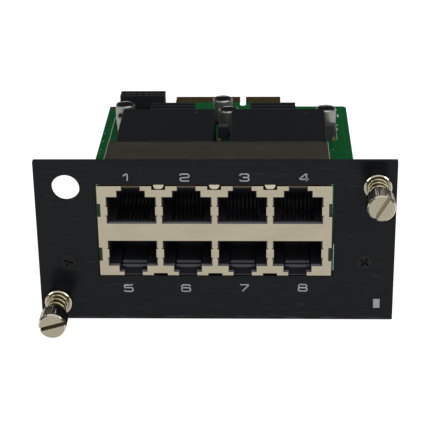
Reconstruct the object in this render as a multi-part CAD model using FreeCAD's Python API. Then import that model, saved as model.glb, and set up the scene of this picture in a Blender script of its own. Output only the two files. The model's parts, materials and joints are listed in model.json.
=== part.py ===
import FreeCAD, Part
import math
import os

# Eight-port network line card: a flat front panel carrying a ganged 2 x 4
# modular jack, a circuit board with a card-edge tongue, and two spring-loaded
# captive thumbscrews.  Millimetres.  X runs along the panel, Y back from the
# panel's front face into the chassis, Z up from the panel's lower edge.  Every
# piece is saved with Y measured from the middle of the overall length.

os.makedirs("parts", exist_ok=True)
V = FreeCAD.Vector

# ------------------------------------------------------------ driving sizes
# panel
PANEL_W = 90.8
PANEL_H = 44.2
PANEL_T = 1.5
PANEL_CORNER_R = 0.15
VENT_HOLE_D = 7.1
VENT_HOLE_INSET = (7.9, 7.26)

# board
BOARD_W = 78.67
BOARD_T = 1.6
BOARD_TOP = 12.91
BOARD_FRONT = 2.0
BOARD_REAR = 124.2
TONGUE_LONG = 21.65
TONGUE_SHORT = 11.65
TONGUE_SLOT = 1.9
TONGUE_REACH = 10.1
TONGUE_SLOT_DEPTH = 9.3
PAD_PITCH = 1.0
PAD_W = 0.7
PAD_L = 5.3
PAD_T = 0.04
BEVEL_L = 0.6
BEVEL_H = 0.3
CORNER_R = 1.5

# ganged jack
PORT_PITCH = 13.97
PORT_COLUMNS = 4
JACK_END_WALL = 1.56
JACK_H = 24.75
JACK_X = -0.14
JACK_PROUD = 0.5
JACK_DEPTH = 30.3
SHEET_T = 0.25
WINDOW_GAP = 0.42
OPEN_W = 12.58
CAVITY_W = 12.0
LOWER_OPEN = (2.69, 9.75)
UPPER_OPEN = (14.53, 21.86)
LATCH_STEP_W = 7.2
LATCH_STEP_H = 1.73
LATCH_KEY_W = 4.75
CAVITY_DEPTH = 13.55
CAVITY_INSET = 0.16

# contacts
CONTACT_COUNT = 8
CONTACT_PITCH = 1.016
CONTACT_W = 0.36
CONTACT_T = 0.3
CONTACT_BEND_Y = 2.6
CONTACT_BEND_R = 0.55
CONTACT_END_Y = 12.2
CONTACT_RISE = 3.0
TAIL_BELOW_BOARD = 1.5
TAIL_HOLE_D = 0.9

# thumbscrews
THUMB_INSET_LEFT = (4.6, 5.4)
THUMB_INSET_RIGHT = (4.9, 6.4)
THUMB_SLOT_ANGLE = {"left": 16.0, "right": 60.0}
THUMB_HEAD_D = 7.0
THUMB_HEAD_L = 5.9
THUMB_FRONT_Y = -14.5
THUMB_CHAMFER = 0.3
THUMB_SLOT_W = 1.05
THUMB_SLOT_DEPTH = 1.6
SHANK_D = 3.0
SHANK_END_Y = 6.4
SHANK_FIT = 0.08
FERRULE_D = 6.95
FERRULE_PROUD = 2.0
FERRULE_BARREL_D = 5.0
FERRULE_FIT = 0.02
SPRING_SEAT_DEPTH = 1.2
SPRING_WIRE_D = 0.6
SPRING_D = 5.4
SPRING_TURNS = 3.3
RING_D = 5.6
RING_T = 0.6
RING_GROOVE_D = 2.2
RING_FIT = 0.05

# panel screws and brackets
SCREW_INSET = 1.5
SCREW_UP = 3.44
SCREW_D = 2.5
SCREW_HEAD_D = 4.6
SCREW_HOLE_FIT = 0.1
BRACKET_W = 7.0
BRACKET_INSET = 2.0
BRACKET_T = 1.6
BRACKET_H = 7.4
BRACKET_L = 8.0

# magnetics modules
MODULE_W = 28.7
MODULE_L = 30.0
MODULE_TOP = 11.4
MODULE_REAR = 91.2
MODULE_X = {"left": -17.2, "right": 16.4}
MODULE_STANDOFF = 0.4
LEAD_COUNT = 14
LEAD_PITCH = 1.5
LEAD_W = 0.5
LEAD_T = 0.24
LEAD_EXIT_H = 2.0
LEAD_REACH = (0.6, 0.8, 1.7)
MODULE_FOOT_W = 3.0
MODULE_FOOT_INSET = (3.35, 5.0)

# chips and heat sinks
SINK_X = {"left": -17.05, "right": 14.97}
SINK_W = 14.3
SINK_REAR = 107.5
SINK_TOP = 7.5
SINK_BASE = 1.6
FIN_COUNT = 6
FIN_PITCH = 2.6
FIN_T = 0.9
CHIP_W = 13.0
CHIP_T = 1.4

# electrolytic capacitors
CAN_D = 6.3
CAN_TOP = 7.95
CAN_BASE_W = 6.6
CAN_BASE_H = 1.1
CAN_GROOVE_Z = 2.1
CAN_GROOVE_H = 0.6
CAN_GROOVE_DEPTH = 0.35
CAN_DISH = 0.18
CANS = {
    "left_rear": (-32.3, 105.3),
    "left_front": (-30.95, 95.15),
    "centre_rear": (-1.2, 110.3),
    "centre_front": (0.9, 100.7),
    "right": (31.7, 101.4),
}

# rear socket strip
SOCKET_COLUMNS = 7
SOCKET_PITCH = 2.0
SOCKET_L = 14.5
SOCKET_W = 5.0
SOCKET_H = 8.5
SOCKET_X = -27.25
SOCKET_REAR = 115.8

# ------------------------------------------------------------ derived sizes
BOARD_BOTTOM = BOARD_TOP - BOARD_T
VENT_HOLE_X = -PANEL_W / 2.0 + VENT_HOLE_INSET[0]
VENT_HOLE_Z = PANEL_H - VENT_HOLE_INSET[1]
THUMB_POSITIONS = {
    "left": (-PANEL_W / 2.0 + THUMB_INSET_LEFT[0], THUMB_INSET_LEFT[1]),
    "right": (PANEL_W / 2.0 - THUMB_INSET_RIGHT[0], PANEL_H - THUMB_INSET_RIGHT[1]),
}
JACK_W = PORT_COLUMNS * PORT_PITCH + 2 * JACK_END_WALL
SCREW_X = BOARD_W / 2.0 - SCREW_INSET
SCREW_Z = BOARD_TOP + SCREW_UP
BRACKET_X = BOARD_W / 2.0 - BRACKET_INSET
BOARD_X0 = -BOARD_W / 2.0 - 0.035
BOARD_X1 = BOARD_X0 + BOARD_W
TONGUE_REAR = BOARD_REAR + TONGUE_REACH
TONGUE_X0 = -(TONGUE_LONG + TONGUE_SLOT + TONGUE_SHORT) / 2.0
SLOT_X0 = TONGUE_X0 + TONGUE_LONG
SLOT_X1 = SLOT_X0 + TONGUE_SLOT
TONGUE_X1 = SLOT_X1 + TONGUE_SHORT
JACK_X0 = JACK_X - JACK_W / 2.0
JACK_X1 = JACK_X + JACK_W / 2.0
JACK_Y0 = -JACK_PROUD
JACK_Y1 = JACK_Y0 + JACK_DEPTH
JACK_Z1 = BOARD_TOP + JACK_H
FACE_Y = JACK_Y0 + SHEET_T
INNER_TOP = JACK_Z1 - SHEET_T
PORT_X = [JACK_X + (i - (PORT_COLUMNS - 1) / 2.0) * PORT_PITCH for i in range(PORT_COLUMNS)]
WALL_X = [JACK_X + (i - (PORT_COLUMNS - 2) / 2.0) * PORT_PITCH for i in range(PORT_COLUMNS - 1)]
LOWER_Z = (BOARD_TOP + LOWER_OPEN[0], BOARD_TOP + LOWER_OPEN[1])
UPPER_Z = (BOARD_TOP + UPPER_OPEN[0], BOARD_TOP + UPPER_OPEN[1])
CAVITY_END = FACE_Y + CAVITY_DEPTH
THUMB_BACK_Y = THUMB_FRONT_Y + THUMB_HEAD_L
SEAT_Y = -FERRULE_PROUD + SPRING_SEAT_DEPTH
ORIGIN_Y = (THUMB_FRONT_Y + TONGUE_REAR) / 2.0


# ------------------------------------------------------------ shape helpers
def box(x0, x1, y0, y1, z0, z1):
    return Part.makeBox(x1 - x0, y1 - y0, z1 - z0, V(x0, y0, z0))


def along_y(points, y0, y1):
    """A prism of an outline given in X and Z, from y0 to y1."""
    wire = Part.makePolygon([V(x, y0, z) for x, z in points] + [V(points[0][0], y0, points[0][1])])
    return Part.Face(wire).extrude(V(0, y1 - y0, 0))


def along_x(points, x0, x1):
    """A prism of an outline given in Y and Z, from x0 to x1."""
    wire = Part.makePolygon([V(x0, y, z) for y, z in points] + [V(x0, points[0][0], points[0][1])])
    return Part.Face(wire).extrude(V(x1 - x0, 0, 0))


def along_z(points, z0, z1):
    """A prism of an outline given in X and Y, from z0 to z1."""
    wire = Part.makePolygon([V(x, y, z0) for x, y in points] + [V(points[0][0], points[0][1], z0)])
    return Part.Face(wire).extrude(V(0, 0, z1 - z0))


def rod_y(x, z, d, y0, y1):
    return Part.makeCylinder(d / 2.0, y1 - y0, V(x, y0, z), V(0, 1, 0))


def rod_z(x, y, d, z0, z1):
    return Part.makeCylinder(d / 2.0, z1 - z0, V(x, y, z0), V(0, 0, 1))


def turned_y(x, z, profile):
    """A turned piece about an axis along Y; the profile lists radius and y."""
    points = [V(x + r, y, z) for r, y in profile]
    face = Part.Face(Part.makePolygon(points + [points[0]]))
    return face.revolve(V(x, 0, z), V(0, 1, 0), 360)


def strip(path, t):
    """The closed outline of a strip of thickness t about an open path."""
    left = []
    right = []
    last = len(path) - 1
    for i, (a, b) in enumerate(path):
        prev = path[max(i - 1, 0)]
        nxt = path[min(i + 1, last)]
        d0 = (a - prev[0], b - prev[1]) if i > 0 else (nxt[0] - a, nxt[1] - b)
        d1 = (nxt[0] - a, nxt[1] - b) if i < last else d0
        n0 = math.hypot(d0[0], d0[1])
        n1 = math.hypot(d1[0], d1[1])
        u0 = (-d0[1] / n0, d0[0] / n0)
        u1 = (-d1[1] / n1, d1[0] / n1)
        m = (u0[0] + u1[0], u0[1] + u1[1])
        k = t / (m[0] * u0[0] + m[1] * u0[1]) / 2.0
        left.append((a + m[0] * k, b + m[1] * k))
        right.append((a - m[0] * k, b - m[1] * k))
    return left + right[::-1]


def cut_all(shape, tools):
    return shape.cut(Part.makeCompound(tools)) if tools else shape


def join(shapes):
    first = shapes[0]
    return first.fuse(shapes[1:]).removeSplitter() if len(shapes) > 1 else first


def save(name, shape):
    """Each piece is stored about the middle of the card's overall length."""
    placed = shape.copy()
    placed.translate(V(0, -ORIGIN_Y, 0))
    placed.exportStep("parts/%s.step" % name)


# ------------------------------------------------------------ front panel
window = box(JACK_X0 - WINDOW_GAP, JACK_X1 + WINDOW_GAP, -1, PANEL_T + 1,
             BOARD_TOP - WINDOW_GAP, JACK_Z1 + WINDOW_GAP)
panel_cuts = [window, rod_y(VENT_HOLE_X, VENT_HOLE_Z, VENT_HOLE_D, -1, PANEL_T + 1)]
for side in (-1, 1):
    x = side * SCREW_X
    clear = SCREW_D + 2 * SCREW_HOLE_FIT
    panel_cuts.append(rod_y(x, SCREW_Z, clear, -1, PANEL_T + 1))
    depth = (SCREW_HEAD_D - clear) / 2.0
    panel_cuts.append(Part.makeCone(SCREW_HEAD_D / 2.0, clear / 2.0, depth, V(x, 0, SCREW_Z), V(0, 1, 0)))
for x, z in THUMB_POSITIONS.values():
    panel_cuts.append(rod_y(x, z, FERRULE_BARREL_D + 2 * FERRULE_FIT, -1, PANEL_T + 1))
panel = box(-PANEL_W / 2.0, PANEL_W / 2.0, 0, PANEL_T, 0, PANEL_H)
corners = [e for e in panel.Edges if abs(e.Vertexes[0].Y - e.Vertexes[-1].Y) > 0.5 * PANEL_T]
panel = panel.makeFillet(PANEL_CORNER_R, corners)
save("front_panel", cut_all(panel, panel_cuts))

# ------------------------------------------------------------ contact paths
UPPER_RUN_Z = UPPER_Z[0] - 1.45
LOWER_RUN_Z = LOWER_Z[1] + 1.42
TAIL_Y = {"upper": (24.4, 26.1), "lower": (18.4, 20.1)}
TAIL_TIP = BOARD_BOTTOM - TAIL_BELOW_BOARD


def contact_path(row, odd):
    """Solder tail, run along the insert, front bend and sprung end."""
    run = UPPER_RUN_Z if row == "upper" else LOWER_RUN_Z
    up = 1.0 if row == "upper" else -1.0
    tail = TAIL_Y[row][odd]
    path = [(tail, TAIL_TIP), (tail, run), (CONTACT_BEND_Y, run)]
    for angle in (45, 90, 135):
        a = math.radians(angle)
        path.append((CONTACT_BEND_Y - CONTACT_BEND_R * math.sin(a),
                     run + up * CONTACT_BEND_R * (1 - math.cos(a))))
    path.append((CONTACT_BEND_Y, run + up * 2 * CONTACT_BEND_R))
    path.append((CONTACT_END_Y, run + up * (2 * CONTACT_BEND_R + CONTACT_RISE)))
    return path


def contact_x(column, k):
    return PORT_X[column] + (k - (CONTACT_COUNT - 1) / 2.0) * CONTACT_PITCH


contacts = {}
for row in ("upper", "lower"):
    contacts[row] = []
    for column in range(PORT_COLUMNS):
        for k in range(CONTACT_COUNT):
            x = contact_x(column, k)
            outline = strip(contact_path(row, k % 2), CONTACT_T)
            contacts[row].append(along_x(outline, x - CONTACT_W / 2.0, x + CONTACT_W / 2.0))
    save("%s_contacts" % row, Part.makeCompound(contacts[row]))

# ------------------------------------------------------------ contact inserts
INSERT_HALF = 6.1
INSERT_GAP = 0.05
INSERT_Y0 = 15.6
INSERT_Y1 = 27.8
INSERT_TOP = UPPER_RUN_Z + 1.3
TONGUE_HALF = 3.95
TONGUE_Y0 = 3.8
inserts = []
for column in range(PORT_COLUMNS):
    x = PORT_X[column]
    body = box(x - INSERT_HALF, x + INSERT_HALF, INSERT_Y0, INSERT_Y1, BOARD_TOP + 0.3, INSERT_TOP)
    shelf = box(x - TONGUE_HALF, x + TONGUE_HALF, TONGUE_Y0, INSERT_Y0,
                LOWER_RUN_Z + CONTACT_T / 2.0, UPPER_RUN_Z - CONTACT_T / 2.0)
    own = [w for row in contacts.values() for w in row if abs(w.BoundBox.Center.x - x) < PORT_PITCH / 2.0]
    inserts.append(cut_all(join([body, shelf]), own))
save("contact_inserts", Part.makeCompound(inserts))


# ------------------------------------------------------------ jack housing
def port_outline(x, row, width, inset):
    """The plug opening with its two latch steps, outward from the body."""
    z0, z1 = (UPPER_Z if row == "upper" else LOWER_Z)
    z0 = z0 + inset
    z1 = z1 - inset
    step = LATCH_STEP_W / 2.0 - inset
    key = LATCH_KEY_W / 2.0 - inset
    half = width / 2.0
    if row == "upper":
        far = INNER_TOP - inset * 2
        return [(x - half, z0), (x + half, z0), (x + half, z1), (x + step, z1),
                (x + step, z1 + LATCH_STEP_H), (x + key, z1 + LATCH_STEP_H), (x + key, far),
                (x - key, far), (x - key, z1 + LATCH_STEP_H), (x - step, z1 + LATCH_STEP_H),
                (x - step, z1), (x - half, z1)]
    far = BOARD_TOP + inset * 2
    return [(x - half, z1), (x - half, z0), (x - step, z0), (x - step, z0 - LATCH_STEP_H),
            (x - key, z0 - LATCH_STEP_H), (x - key, far), (x + key, far),
            (x + key, z0 - LATCH_STEP_H), (x + step, z0 - LATCH_STEP_H), (x + step, z0),
            (x + half, z0), (x + half, z1)]


PEG_D = 3.1
PEG_X = 1.5 * PORT_PITCH
PEG_Y = 9.0
PEG_FIT = 0.06
FRONT_LIP_Y = 1.5
LEAD_IN = 0.6
LUG_POCKET_Y = 1.2
NOTCH_W = 3.5
NOTCH_D = 0.94
TONGUE_W = 2.4
TONGUE_LEN = 3.6
TONGUE_PROUD = 0.25
TONGUE_Z = (UPPER_Z[0] + 3.46, LOWER_Z[1] - 3.55)
LATCH_FLOOR_W = 6.2
LATCH_FLOOR_Y = (2.36, 3.82)
LATCH_FLOOR_DROP = (1.22, 0.74)
LATCH_FLOOR_BEVEL = 0.5
housing = box(JACK_X0 + SHEET_T, JACK_X1 - SHEET_T, FACE_Y, JACK_Y1 - SHEET_T, BOARD_TOP, INNER_TOP)
housing_cuts = []
for x in PORT_X:
    for row in ("upper", "lower"):
        housing_cuts.append(along_y(port_outline(x, row, CAVITY_W, CAVITY_INSET), FACE_Y, CAVITY_END))
    housing_cuts.append(box(x - TONGUE_HALF - 0.15, x + TONGUE_HALF + 0.15, FRONT_LIP_Y, INSERT_Y0,
                            LOWER_Z[1] - 1, UPPER_Z[0] + 1))
    housing_cuts.append(box(x - INSERT_HALF - INSERT_GAP, x + INSERT_HALF + INSERT_GAP, INSERT_Y0,
                            JACK_Y1, BOARD_TOP - 1, INSERT_TOP))
    # the floor's front edge is bevelled, so that a plug rides in over it
    for floor, half in ((UPPER_Z[0], CAVITY_W / 2.0), (LOWER_Z[0], CAVITY_W / 2.0),
                        (LOWER_Z[0] - LATCH_STEP_H, LATCH_STEP_W / 2.0 - CAVITY_INSET)):
        z = floor + CAVITY_INSET
        bevel = [(FACE_Y, z - LEAD_IN), (FACE_Y + LEAD_IN, z), (FACE_Y, z)]
        housing_cuts.append(along_x(bevel, x - half, x + half))
    for zc in TONGUE_Z:
        half = OPEN_W / 2.0 + 0.01
        housing_cuts.append(box(x - half, x + half, FACE_Y, TONGUE_LEN + 0.1,
                                zc - TONGUE_W / 2.0 - 0.05, zc + TONGUE_W / 2.0 + 0.05))
for x in WALL_X:
    housing_cuts.append(box(x - 1.8, x + 1.8, FACE_Y, 0.6, BOARD_TOP, BOARD_TOP + 0.6))
    housing_cuts.append(box(x - NOTCH_W / 2.0, x + NOTCH_W / 2.0, FACE_Y, LUG_POCKET_Y,
                            JACK_Z1 - NOTCH_D, INNER_TOP))
housing = cut_all(housing, housing_cuts)
# the floor of each lower port's latch channel rises in two bevelled steps
latch_floors = []
for x in PORT_X:
    steps = [(LATCH_FLOOR_Y[0], BOARD_TOP)]
    for y, drop in zip(LATCH_FLOOR_Y, LATCH_FLOOR_DROP):
        steps += [(y, LOWER_Z[0] - drop - LATCH_FLOOR_BEVEL), (y + LATCH_FLOOR_BEVEL, LOWER_Z[0] - drop)]
    steps += [(CAVITY_END, LOWER_Z[0] - LATCH_FLOOR_DROP[-1]), (CAVITY_END, BOARD_TOP)]
    latch_floors.append(along_x(steps, x - LATCH_FLOOR_W / 2.0, x + LATCH_FLOOR_W / 2.0))
housing = join([housing] + latch_floors)
pegs = [rod_z(JACK_X + s * PEG_X, PEG_Y, PEG_D, BOARD_BOTTOM - 0.6, BOARD_TOP + 0.5) for s in (-1, 1)]
save("jack_housing", join([housing] + pegs))

# ------------------------------------------------------------ jack shield
NOTCH_BACK = 3.5
LUG_W = 2.62
LUG_DROP = 0.7
LUG_CORNER = 0.9
SIDE_NOTCHES = ((4.1, 7.8), (16.4, 20.0))
SIDE_NOTCH_D = 0.8
SIDE_LUG_W = 2.4
SIDE_LUG_PROUD = 0.1
TONGUE_RELIEF = (0.3, 0.2)
TAIL_TAB_W = 1.6
TAIL_TAB_Y = (7.2, 22.4)
TAB_TIP = BOARD_BOTTOM - 1.0
REAR_TAB_INSET = 6.0


def grounding_tongue(x, side, z):
    """A tongue folded back from the opening's edge along the cavity wall."""
    outer = x + side * OPEN_W / 2.0
    inner = outer - side * TONGUE_PROUD
    lo, hi = min(outer, inner), max(outer, inner)
    leaf = box(lo, hi, JACK_Y0, TONGUE_LEN, z - TONGUE_W / 2.0, z + TONGUE_W / 2.0)
    edge = outer + side * 0.1
    root = box(min(inner, edge), max(inner, edge), JACK_Y0, FACE_Y, z - TONGUE_W / 2.0, z + TONGUE_W / 2.0)
    return [leaf, root]


face = box(JACK_X0, JACK_X1, JACK_Y0, FACE_Y, BOARD_TOP, JACK_Z1)
top = box(JACK_X0, JACK_X1, JACK_Y0, JACK_Y1, INNER_TOP, JACK_Z1)
left_side = box(JACK_X0, JACK_X0 + SHEET_T, JACK_Y0, JACK_Y1, BOARD_TOP, JACK_Z1)
right_side = box(JACK_X1 - SHEET_T, JACK_X1, JACK_Y0, JACK_Y1, BOARD_TOP, JACK_Z1)
shell = join([face, top, left_side, right_side])
edges = [e for e in shell.Edges
         if abs(e.BoundBox.ZMin - JACK_Z1) < 0.01
         and (e.BoundBox.YLength > JACK_DEPTH - 0.1 or e.BoundBox.YMax < JACK_Y0 + 0.01)]
shell = shell.makeFillet(0.24, edges)
shell_cuts = []
shell_adds = []
for x in PORT_X:
    for row in ("upper", "lower"):
        outline = port_outline(x, row, OPEN_W, 0.0)
        shell_cuts.append(along_y(outline, JACK_Y0 - 1, FACE_Y))
    # the latch notch of an upper port runs out through the folded edge
    shell_cuts.append(box(x - LATCH_KEY_W / 2.0, x + LATCH_KEY_W / 2.0, JACK_Y0 - 1, FACE_Y,
                          INNER_TOP - 1, JACK_Z1 + 1))
    for zc in TONGUE_Z:
        for side in (-1, 1):
            edge = x + side * OPEN_W / 2.0
            tall, deep = TONGUE_RELIEF
            for s in (-1, 1):
                zr = zc + s * (TONGUE_W + tall) / 2.0
                shell_cuts.append(box(edge - deep, edge + deep, JACK_Y0 - 1, FACE_Y,
                                      zr - tall / 2.0, zr + tall / 2.0))
            shell_adds += grounding_tongue(x, side, zc)
for x in WALL_X:
    shell_cuts.append(box(x - NOTCH_W / 2.0, x + NOTCH_W / 2.0, JACK_Y0 - 1, NOTCH_BACK,
                          JACK_Z1 - NOTCH_D, JACK_Z1 + 1))
    shell_cuts.append(box(x - 1.8, x + 1.8, JACK_Y0 - 1, FACE_Y, BOARD_TOP - 1, BOARD_TOP + 0.6))
    crest = JACK_Z1 + WINDOW_GAP - 0.03
    tip = JACK_Z1 - LUG_DROP
    arch = [(JACK_Y0 + 0.02, tip), (0.35, crest - 0.06), (1.0, crest), (NOTCH_BACK + 0.3, JACK_Z1),
            (NOTCH_BACK + 0.3, INNER_TOP), (1.0, crest - SHEET_T), (0.5, crest - SHEET_T - 0.06),
            (JACK_Y0 + 0.32, tip)]
    lug = along_x(arch, x - LUG_W / 2.0, x + LUG_W / 2.0)
    corner = LUG_W / 2.0 - LUG_CORNER
    outline = [rod_y(x + s * corner, tip + LUG_CORNER, 2 * LUG_CORNER, JACK_Y0 - 1, NOTCH_BACK + 1)
               for s in (-1, 1)]
    outline.append(box(x - corner, x + corner, JACK_Y0 - 1, NOTCH_BACK + 1, tip - 1, crest + 1))
    outline.append(box(x - LUG_W / 2.0, x + LUG_W / 2.0, JACK_Y0 - 1, NOTCH_BACK + 1,
                       tip + LUG_CORNER, crest + 1))
    shell_adds.append(lug.common(join(outline)))
for side, edge in ((-1, JACK_X0), (1, JACK_X1)):
    for lo, hi in SIDE_NOTCHES:
        z0 = BOARD_TOP + lo
        z1 = BOARD_TOP + hi
        a = edge - side * SIDE_NOTCH_D
        b = edge + side
        shell_cuts.append(box(min(a, b), max(a, b), JACK_Y0 - 1, FACE_Y, z0, z1))
        a = edge - side * SHEET_T
        shell_cuts.append(box(min(a, b), max(a, b), JACK_Y0 - 1, NOTCH_BACK, z0, z1))
        crest = edge + side * SIDE_LUG_PROUD
        inner = edge - side * SHEET_T
        leaf = [(edge, FACE_Y + 0.3), (crest, 1.0), (edge, NOTCH_BACK + 0.3),
                (inner, NOTCH_BACK + 0.3), (crest - side * SHEET_T, 1.0), (inner, FACE_Y + 0.3)]
        mid = (z0 + z1) / 2.0
        shell_adds.append(along_z(leaf, mid - SIDE_LUG_W / 2.0, mid + SIDE_LUG_W / 2.0))
    inner = edge - side * SHEET_T
    for y in TAIL_TAB_Y:
        shell_adds.append(box(min(edge, inner), max(edge, inner), y, y + TAIL_TAB_W, TAB_TIP, BOARD_TOP + 1))
shell = cut_all(shell, shell_cuts)
save("jack_shield_front", join([shell] + shell_adds))

rear_cover = box(JACK_X0 + SHEET_T, JACK_X1 - SHEET_T, JACK_Y1 - SHEET_T, JACK_Y1, BOARD_TOP, INNER_TOP)
REAR_TAB_X = (-0.5 * JACK_W + REAR_TAB_INSET, 0.5 * JACK_W - REAR_TAB_INSET)
rear_tabs = [box(JACK_X + x - TAIL_TAB_W / 2.0, JACK_X + x + TAIL_TAB_W / 2.0, JACK_Y1 - SHEET_T, JACK_Y1,
                 TAB_TIP, BOARD_TOP + 1) for x in REAR_TAB_X]
save("jack_shield_rear", join([rear_cover] + rear_tabs))

# ------------------------------------------------------------ circuit board
outline = [(BOARD_X0, BOARD_FRONT), (BOARD_X1, BOARD_FRONT), (BOARD_X1, BOARD_REAR),
           (TONGUE_X1, BOARD_REAR), (TONGUE_X1, TONGUE_REAR), (TONGUE_X0, TONGUE_REAR),
           (TONGUE_X0, BOARD_REAR), (BOARD_X0, BOARD_REAR)]
board = along_z(outline, BOARD_BOTTOM, BOARD_TOP)
corner = [e for e in board.Edges if e.BoundBox.ZLength > BOARD_T - 0.01
          and abs(e.BoundBox.XMax - BOARD_X1) < 0.01 and abs(e.BoundBox.YMax - BOARD_REAR) < 0.01]
board = board.makeFillet(CORNER_R, corner)
board_cuts = []
slot_mid = (SLOT_X0 + SLOT_X1) / 2.0
slot_end = TONGUE_REAR - TONGUE_SLOT_DEPTH + TONGUE_SLOT / 2.0
board_cuts.append(box(SLOT_X0, SLOT_X1, slot_end, TONGUE_REAR + 1, BOARD_BOTTOM - 1, BOARD_TOP + 1))
board_cuts.append(rod_z(slot_mid, slot_end, TONGUE_SLOT, BOARD_BOTTOM - 1, BOARD_TOP + 1))
for z, s in ((BOARD_TOP, -1), (BOARD_BOTTOM, 1)):
    wedge = [(TONGUE_REAR - BEVEL_L, z), (TONGUE_REAR + 0.1, z), (TONGUE_REAR + 0.1, z + s * BEVEL_H),
             (TONGUE_REAR, z + s * BEVEL_H)]
    board_cuts.append(along_x(wedge, TONGUE_X0 - 1, TONGUE_X1 + 1))
for row in ("upper", "lower"):
    for column in range(PORT_COLUMNS):
        for k in range(CONTACT_COUNT):
            board_cuts.append(rod_z(contact_x(column, k), TAIL_Y[row][k % 2], TAIL_HOLE_D,
                                    BOARD_BOTTOM - 1, BOARD_TOP + 1))
for s in (-1, 1):
    board_cuts.append(rod_z(JACK_X + s * PEG_X, PEG_Y, PEG_D + 2 * PEG_FIT, BOARD_BOTTOM - 1, BOARD_TOP + 1))
for edge, side in ((JACK_X0, 1), (JACK_X1, -1)):
    mid = edge + side * SHEET_T / 2.0
    for y in TAIL_TAB_Y:
        board_cuts.append(box(mid - 0.35, mid + 0.35, y - 0.2, y + TAIL_TAB_W + 0.2,
                              BOARD_BOTTOM - 1, BOARD_TOP + 1))
for x in REAR_TAB_X:
    mid = JACK_Y1 - SHEET_T / 2.0
    board_cuts.append(box(JACK_X + x - TAIL_TAB_W / 2.0 - 0.2, JACK_X + x + TAIL_TAB_W / 2.0 + 0.2,
                          mid - 0.35, mid + 0.35, BOARD_BOTTOM - 1, BOARD_TOP + 1))
BOARD_SCREW_Y = 6.3
for s in (-1, 1):
    board_cuts.append(rod_z(s * (BRACKET_X - 0.6), BOARD_SCREW_Y, SCREW_D + 2 * SCREW_HOLE_FIT,
                            BOARD_BOTTOM - 1, BOARD_TOP + 1))
socket_pins = []
for i in range(SOCKET_COLUMNS):
    for j in (-1, 1):
        socket_pins.append((SOCKET_X + (i - (SOCKET_COLUMNS - 1) / 2.0) * SOCKET_PITCH,
                            SOCKET_REAR - SOCKET_W / 2.0 + j * SOCKET_PITCH / 2.0))
for x, y in socket_pins:
    board_cuts.append(rod_z(x, y, TAIL_HOLE_D, BOARD_BOTTOM - 1, BOARD_TOP + 1))
save("circuit_board", cut_all(board, board_cuts))

# gold contact pads on both faces of the tongue
pads = {"top": [], "bottom": []}
for start, length in ((TONGUE_X0, TONGUE_LONG), (SLOT_X1, TONGUE_SHORT)):
    count = int(length // PAD_PITCH)
    first = start + (length - (count - 1) * PAD_PITCH) / 2.0
    for i in range(count):
        x = first + i * PAD_PITCH
        y1 = TONGUE_REAR - BEVEL_L
        pads["top"].append(box(x - PAD_W / 2.0, x + PAD_W / 2.0, y1 - PAD_L, y1, BOARD_TOP, BOARD_TOP + PAD_T))
        pads["bottom"].append(box(x - PAD_W / 2.0, x + PAD_W / 2.0, y1 - PAD_L, y1,
                                  BOARD_BOTTOM - PAD_T, BOARD_BOTTOM))
for side in pads:
    save("edge_contacts_%s" % side, Part.makeCompound(pads[side]))

# ------------------------------------------------------------ magnetics
for name, xc in MODULE_X.items():
    z0 = BOARD_TOP + MODULE_STANDOFF
    z1 = BOARD_TOP + MODULE_TOP
    y0 = MODULE_REAR - MODULE_L
    body = box(xc - MODULE_W / 2.0, xc + MODULE_W / 2.0, y0, MODULE_REAR, z0, z1)
    rim = [e for e in body.Edges if abs(e.BoundBox.ZMin - z1) < 0.01]
    body = body.makeChamfer(0.35, rim)
    half = MODULE_FOOT_W / 2.0
    reach = MODULE_W / 2.0 - MODULE_FOOT_INSET[0]
    feet = [box(xc + sx * reach - half, xc + sx * reach + half, yy - half, yy + half, BOARD_TOP, z0)
            for sx in (-1, 1) for yy in (y0 + MODULE_FOOT_INSET[1], MODULE_REAR - MODULE_FOOT_INSET[1])]
    save("magnetics_%s" % name, join([body] + feet))
    leads = []
    for s, face_y in ((-1, y0), (1, MODULE_REAR)):
        path = [(face_y, BOARD_TOP + LEAD_EXIT_H), (face_y + s * LEAD_REACH[0], BOARD_TOP + LEAD_EXIT_H),
                (face_y + s * LEAD_REACH[1], BOARD_TOP + LEAD_T / 2.0),
                (face_y + s * LEAD_REACH[2], BOARD_TOP + LEAD_T / 2.0)]
        for i in range(LEAD_COUNT):
            x = xc + (i - (LEAD_COUNT - 1) / 2.0) * LEAD_PITCH
            leads.append(along_x(strip(path, LEAD_T), x - LEAD_W / 2.0, x + LEAD_W / 2.0))
    save("magnetics_leads_%s" % name, Part.makeCompound(leads))

# ------------------------------------------------------------ chips, sinks
for name, xc in SINK_X.items():
    depth = (FIN_COUNT - 1) * FIN_PITCH + FIN_T
    y0 = SINK_REAR - depth
    yc = SINK_REAR - depth / 2.0
    chip_top = BOARD_TOP + CHIP_T
    save("phy_chip_%s" % name, box(xc - CHIP_W / 2.0, xc + CHIP_W / 2.0, yc - CHIP_W / 2.0,
                                   yc + CHIP_W / 2.0, BOARD_TOP, chip_top))
    parts = [box(xc - SINK_W / 2.0, xc + SINK_W / 2.0, y0, SINK_REAR, chip_top, chip_top + SINK_BASE)]
    for i in range(FIN_COUNT):
        y = y0 + i * FIN_PITCH
        parts.append(box(xc - SINK_W / 2.0, xc + SINK_W / 2.0, y, y + FIN_T, chip_top, BOARD_TOP + SINK_TOP))
    save("heat_sink_%s" % name, join(parts))

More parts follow.
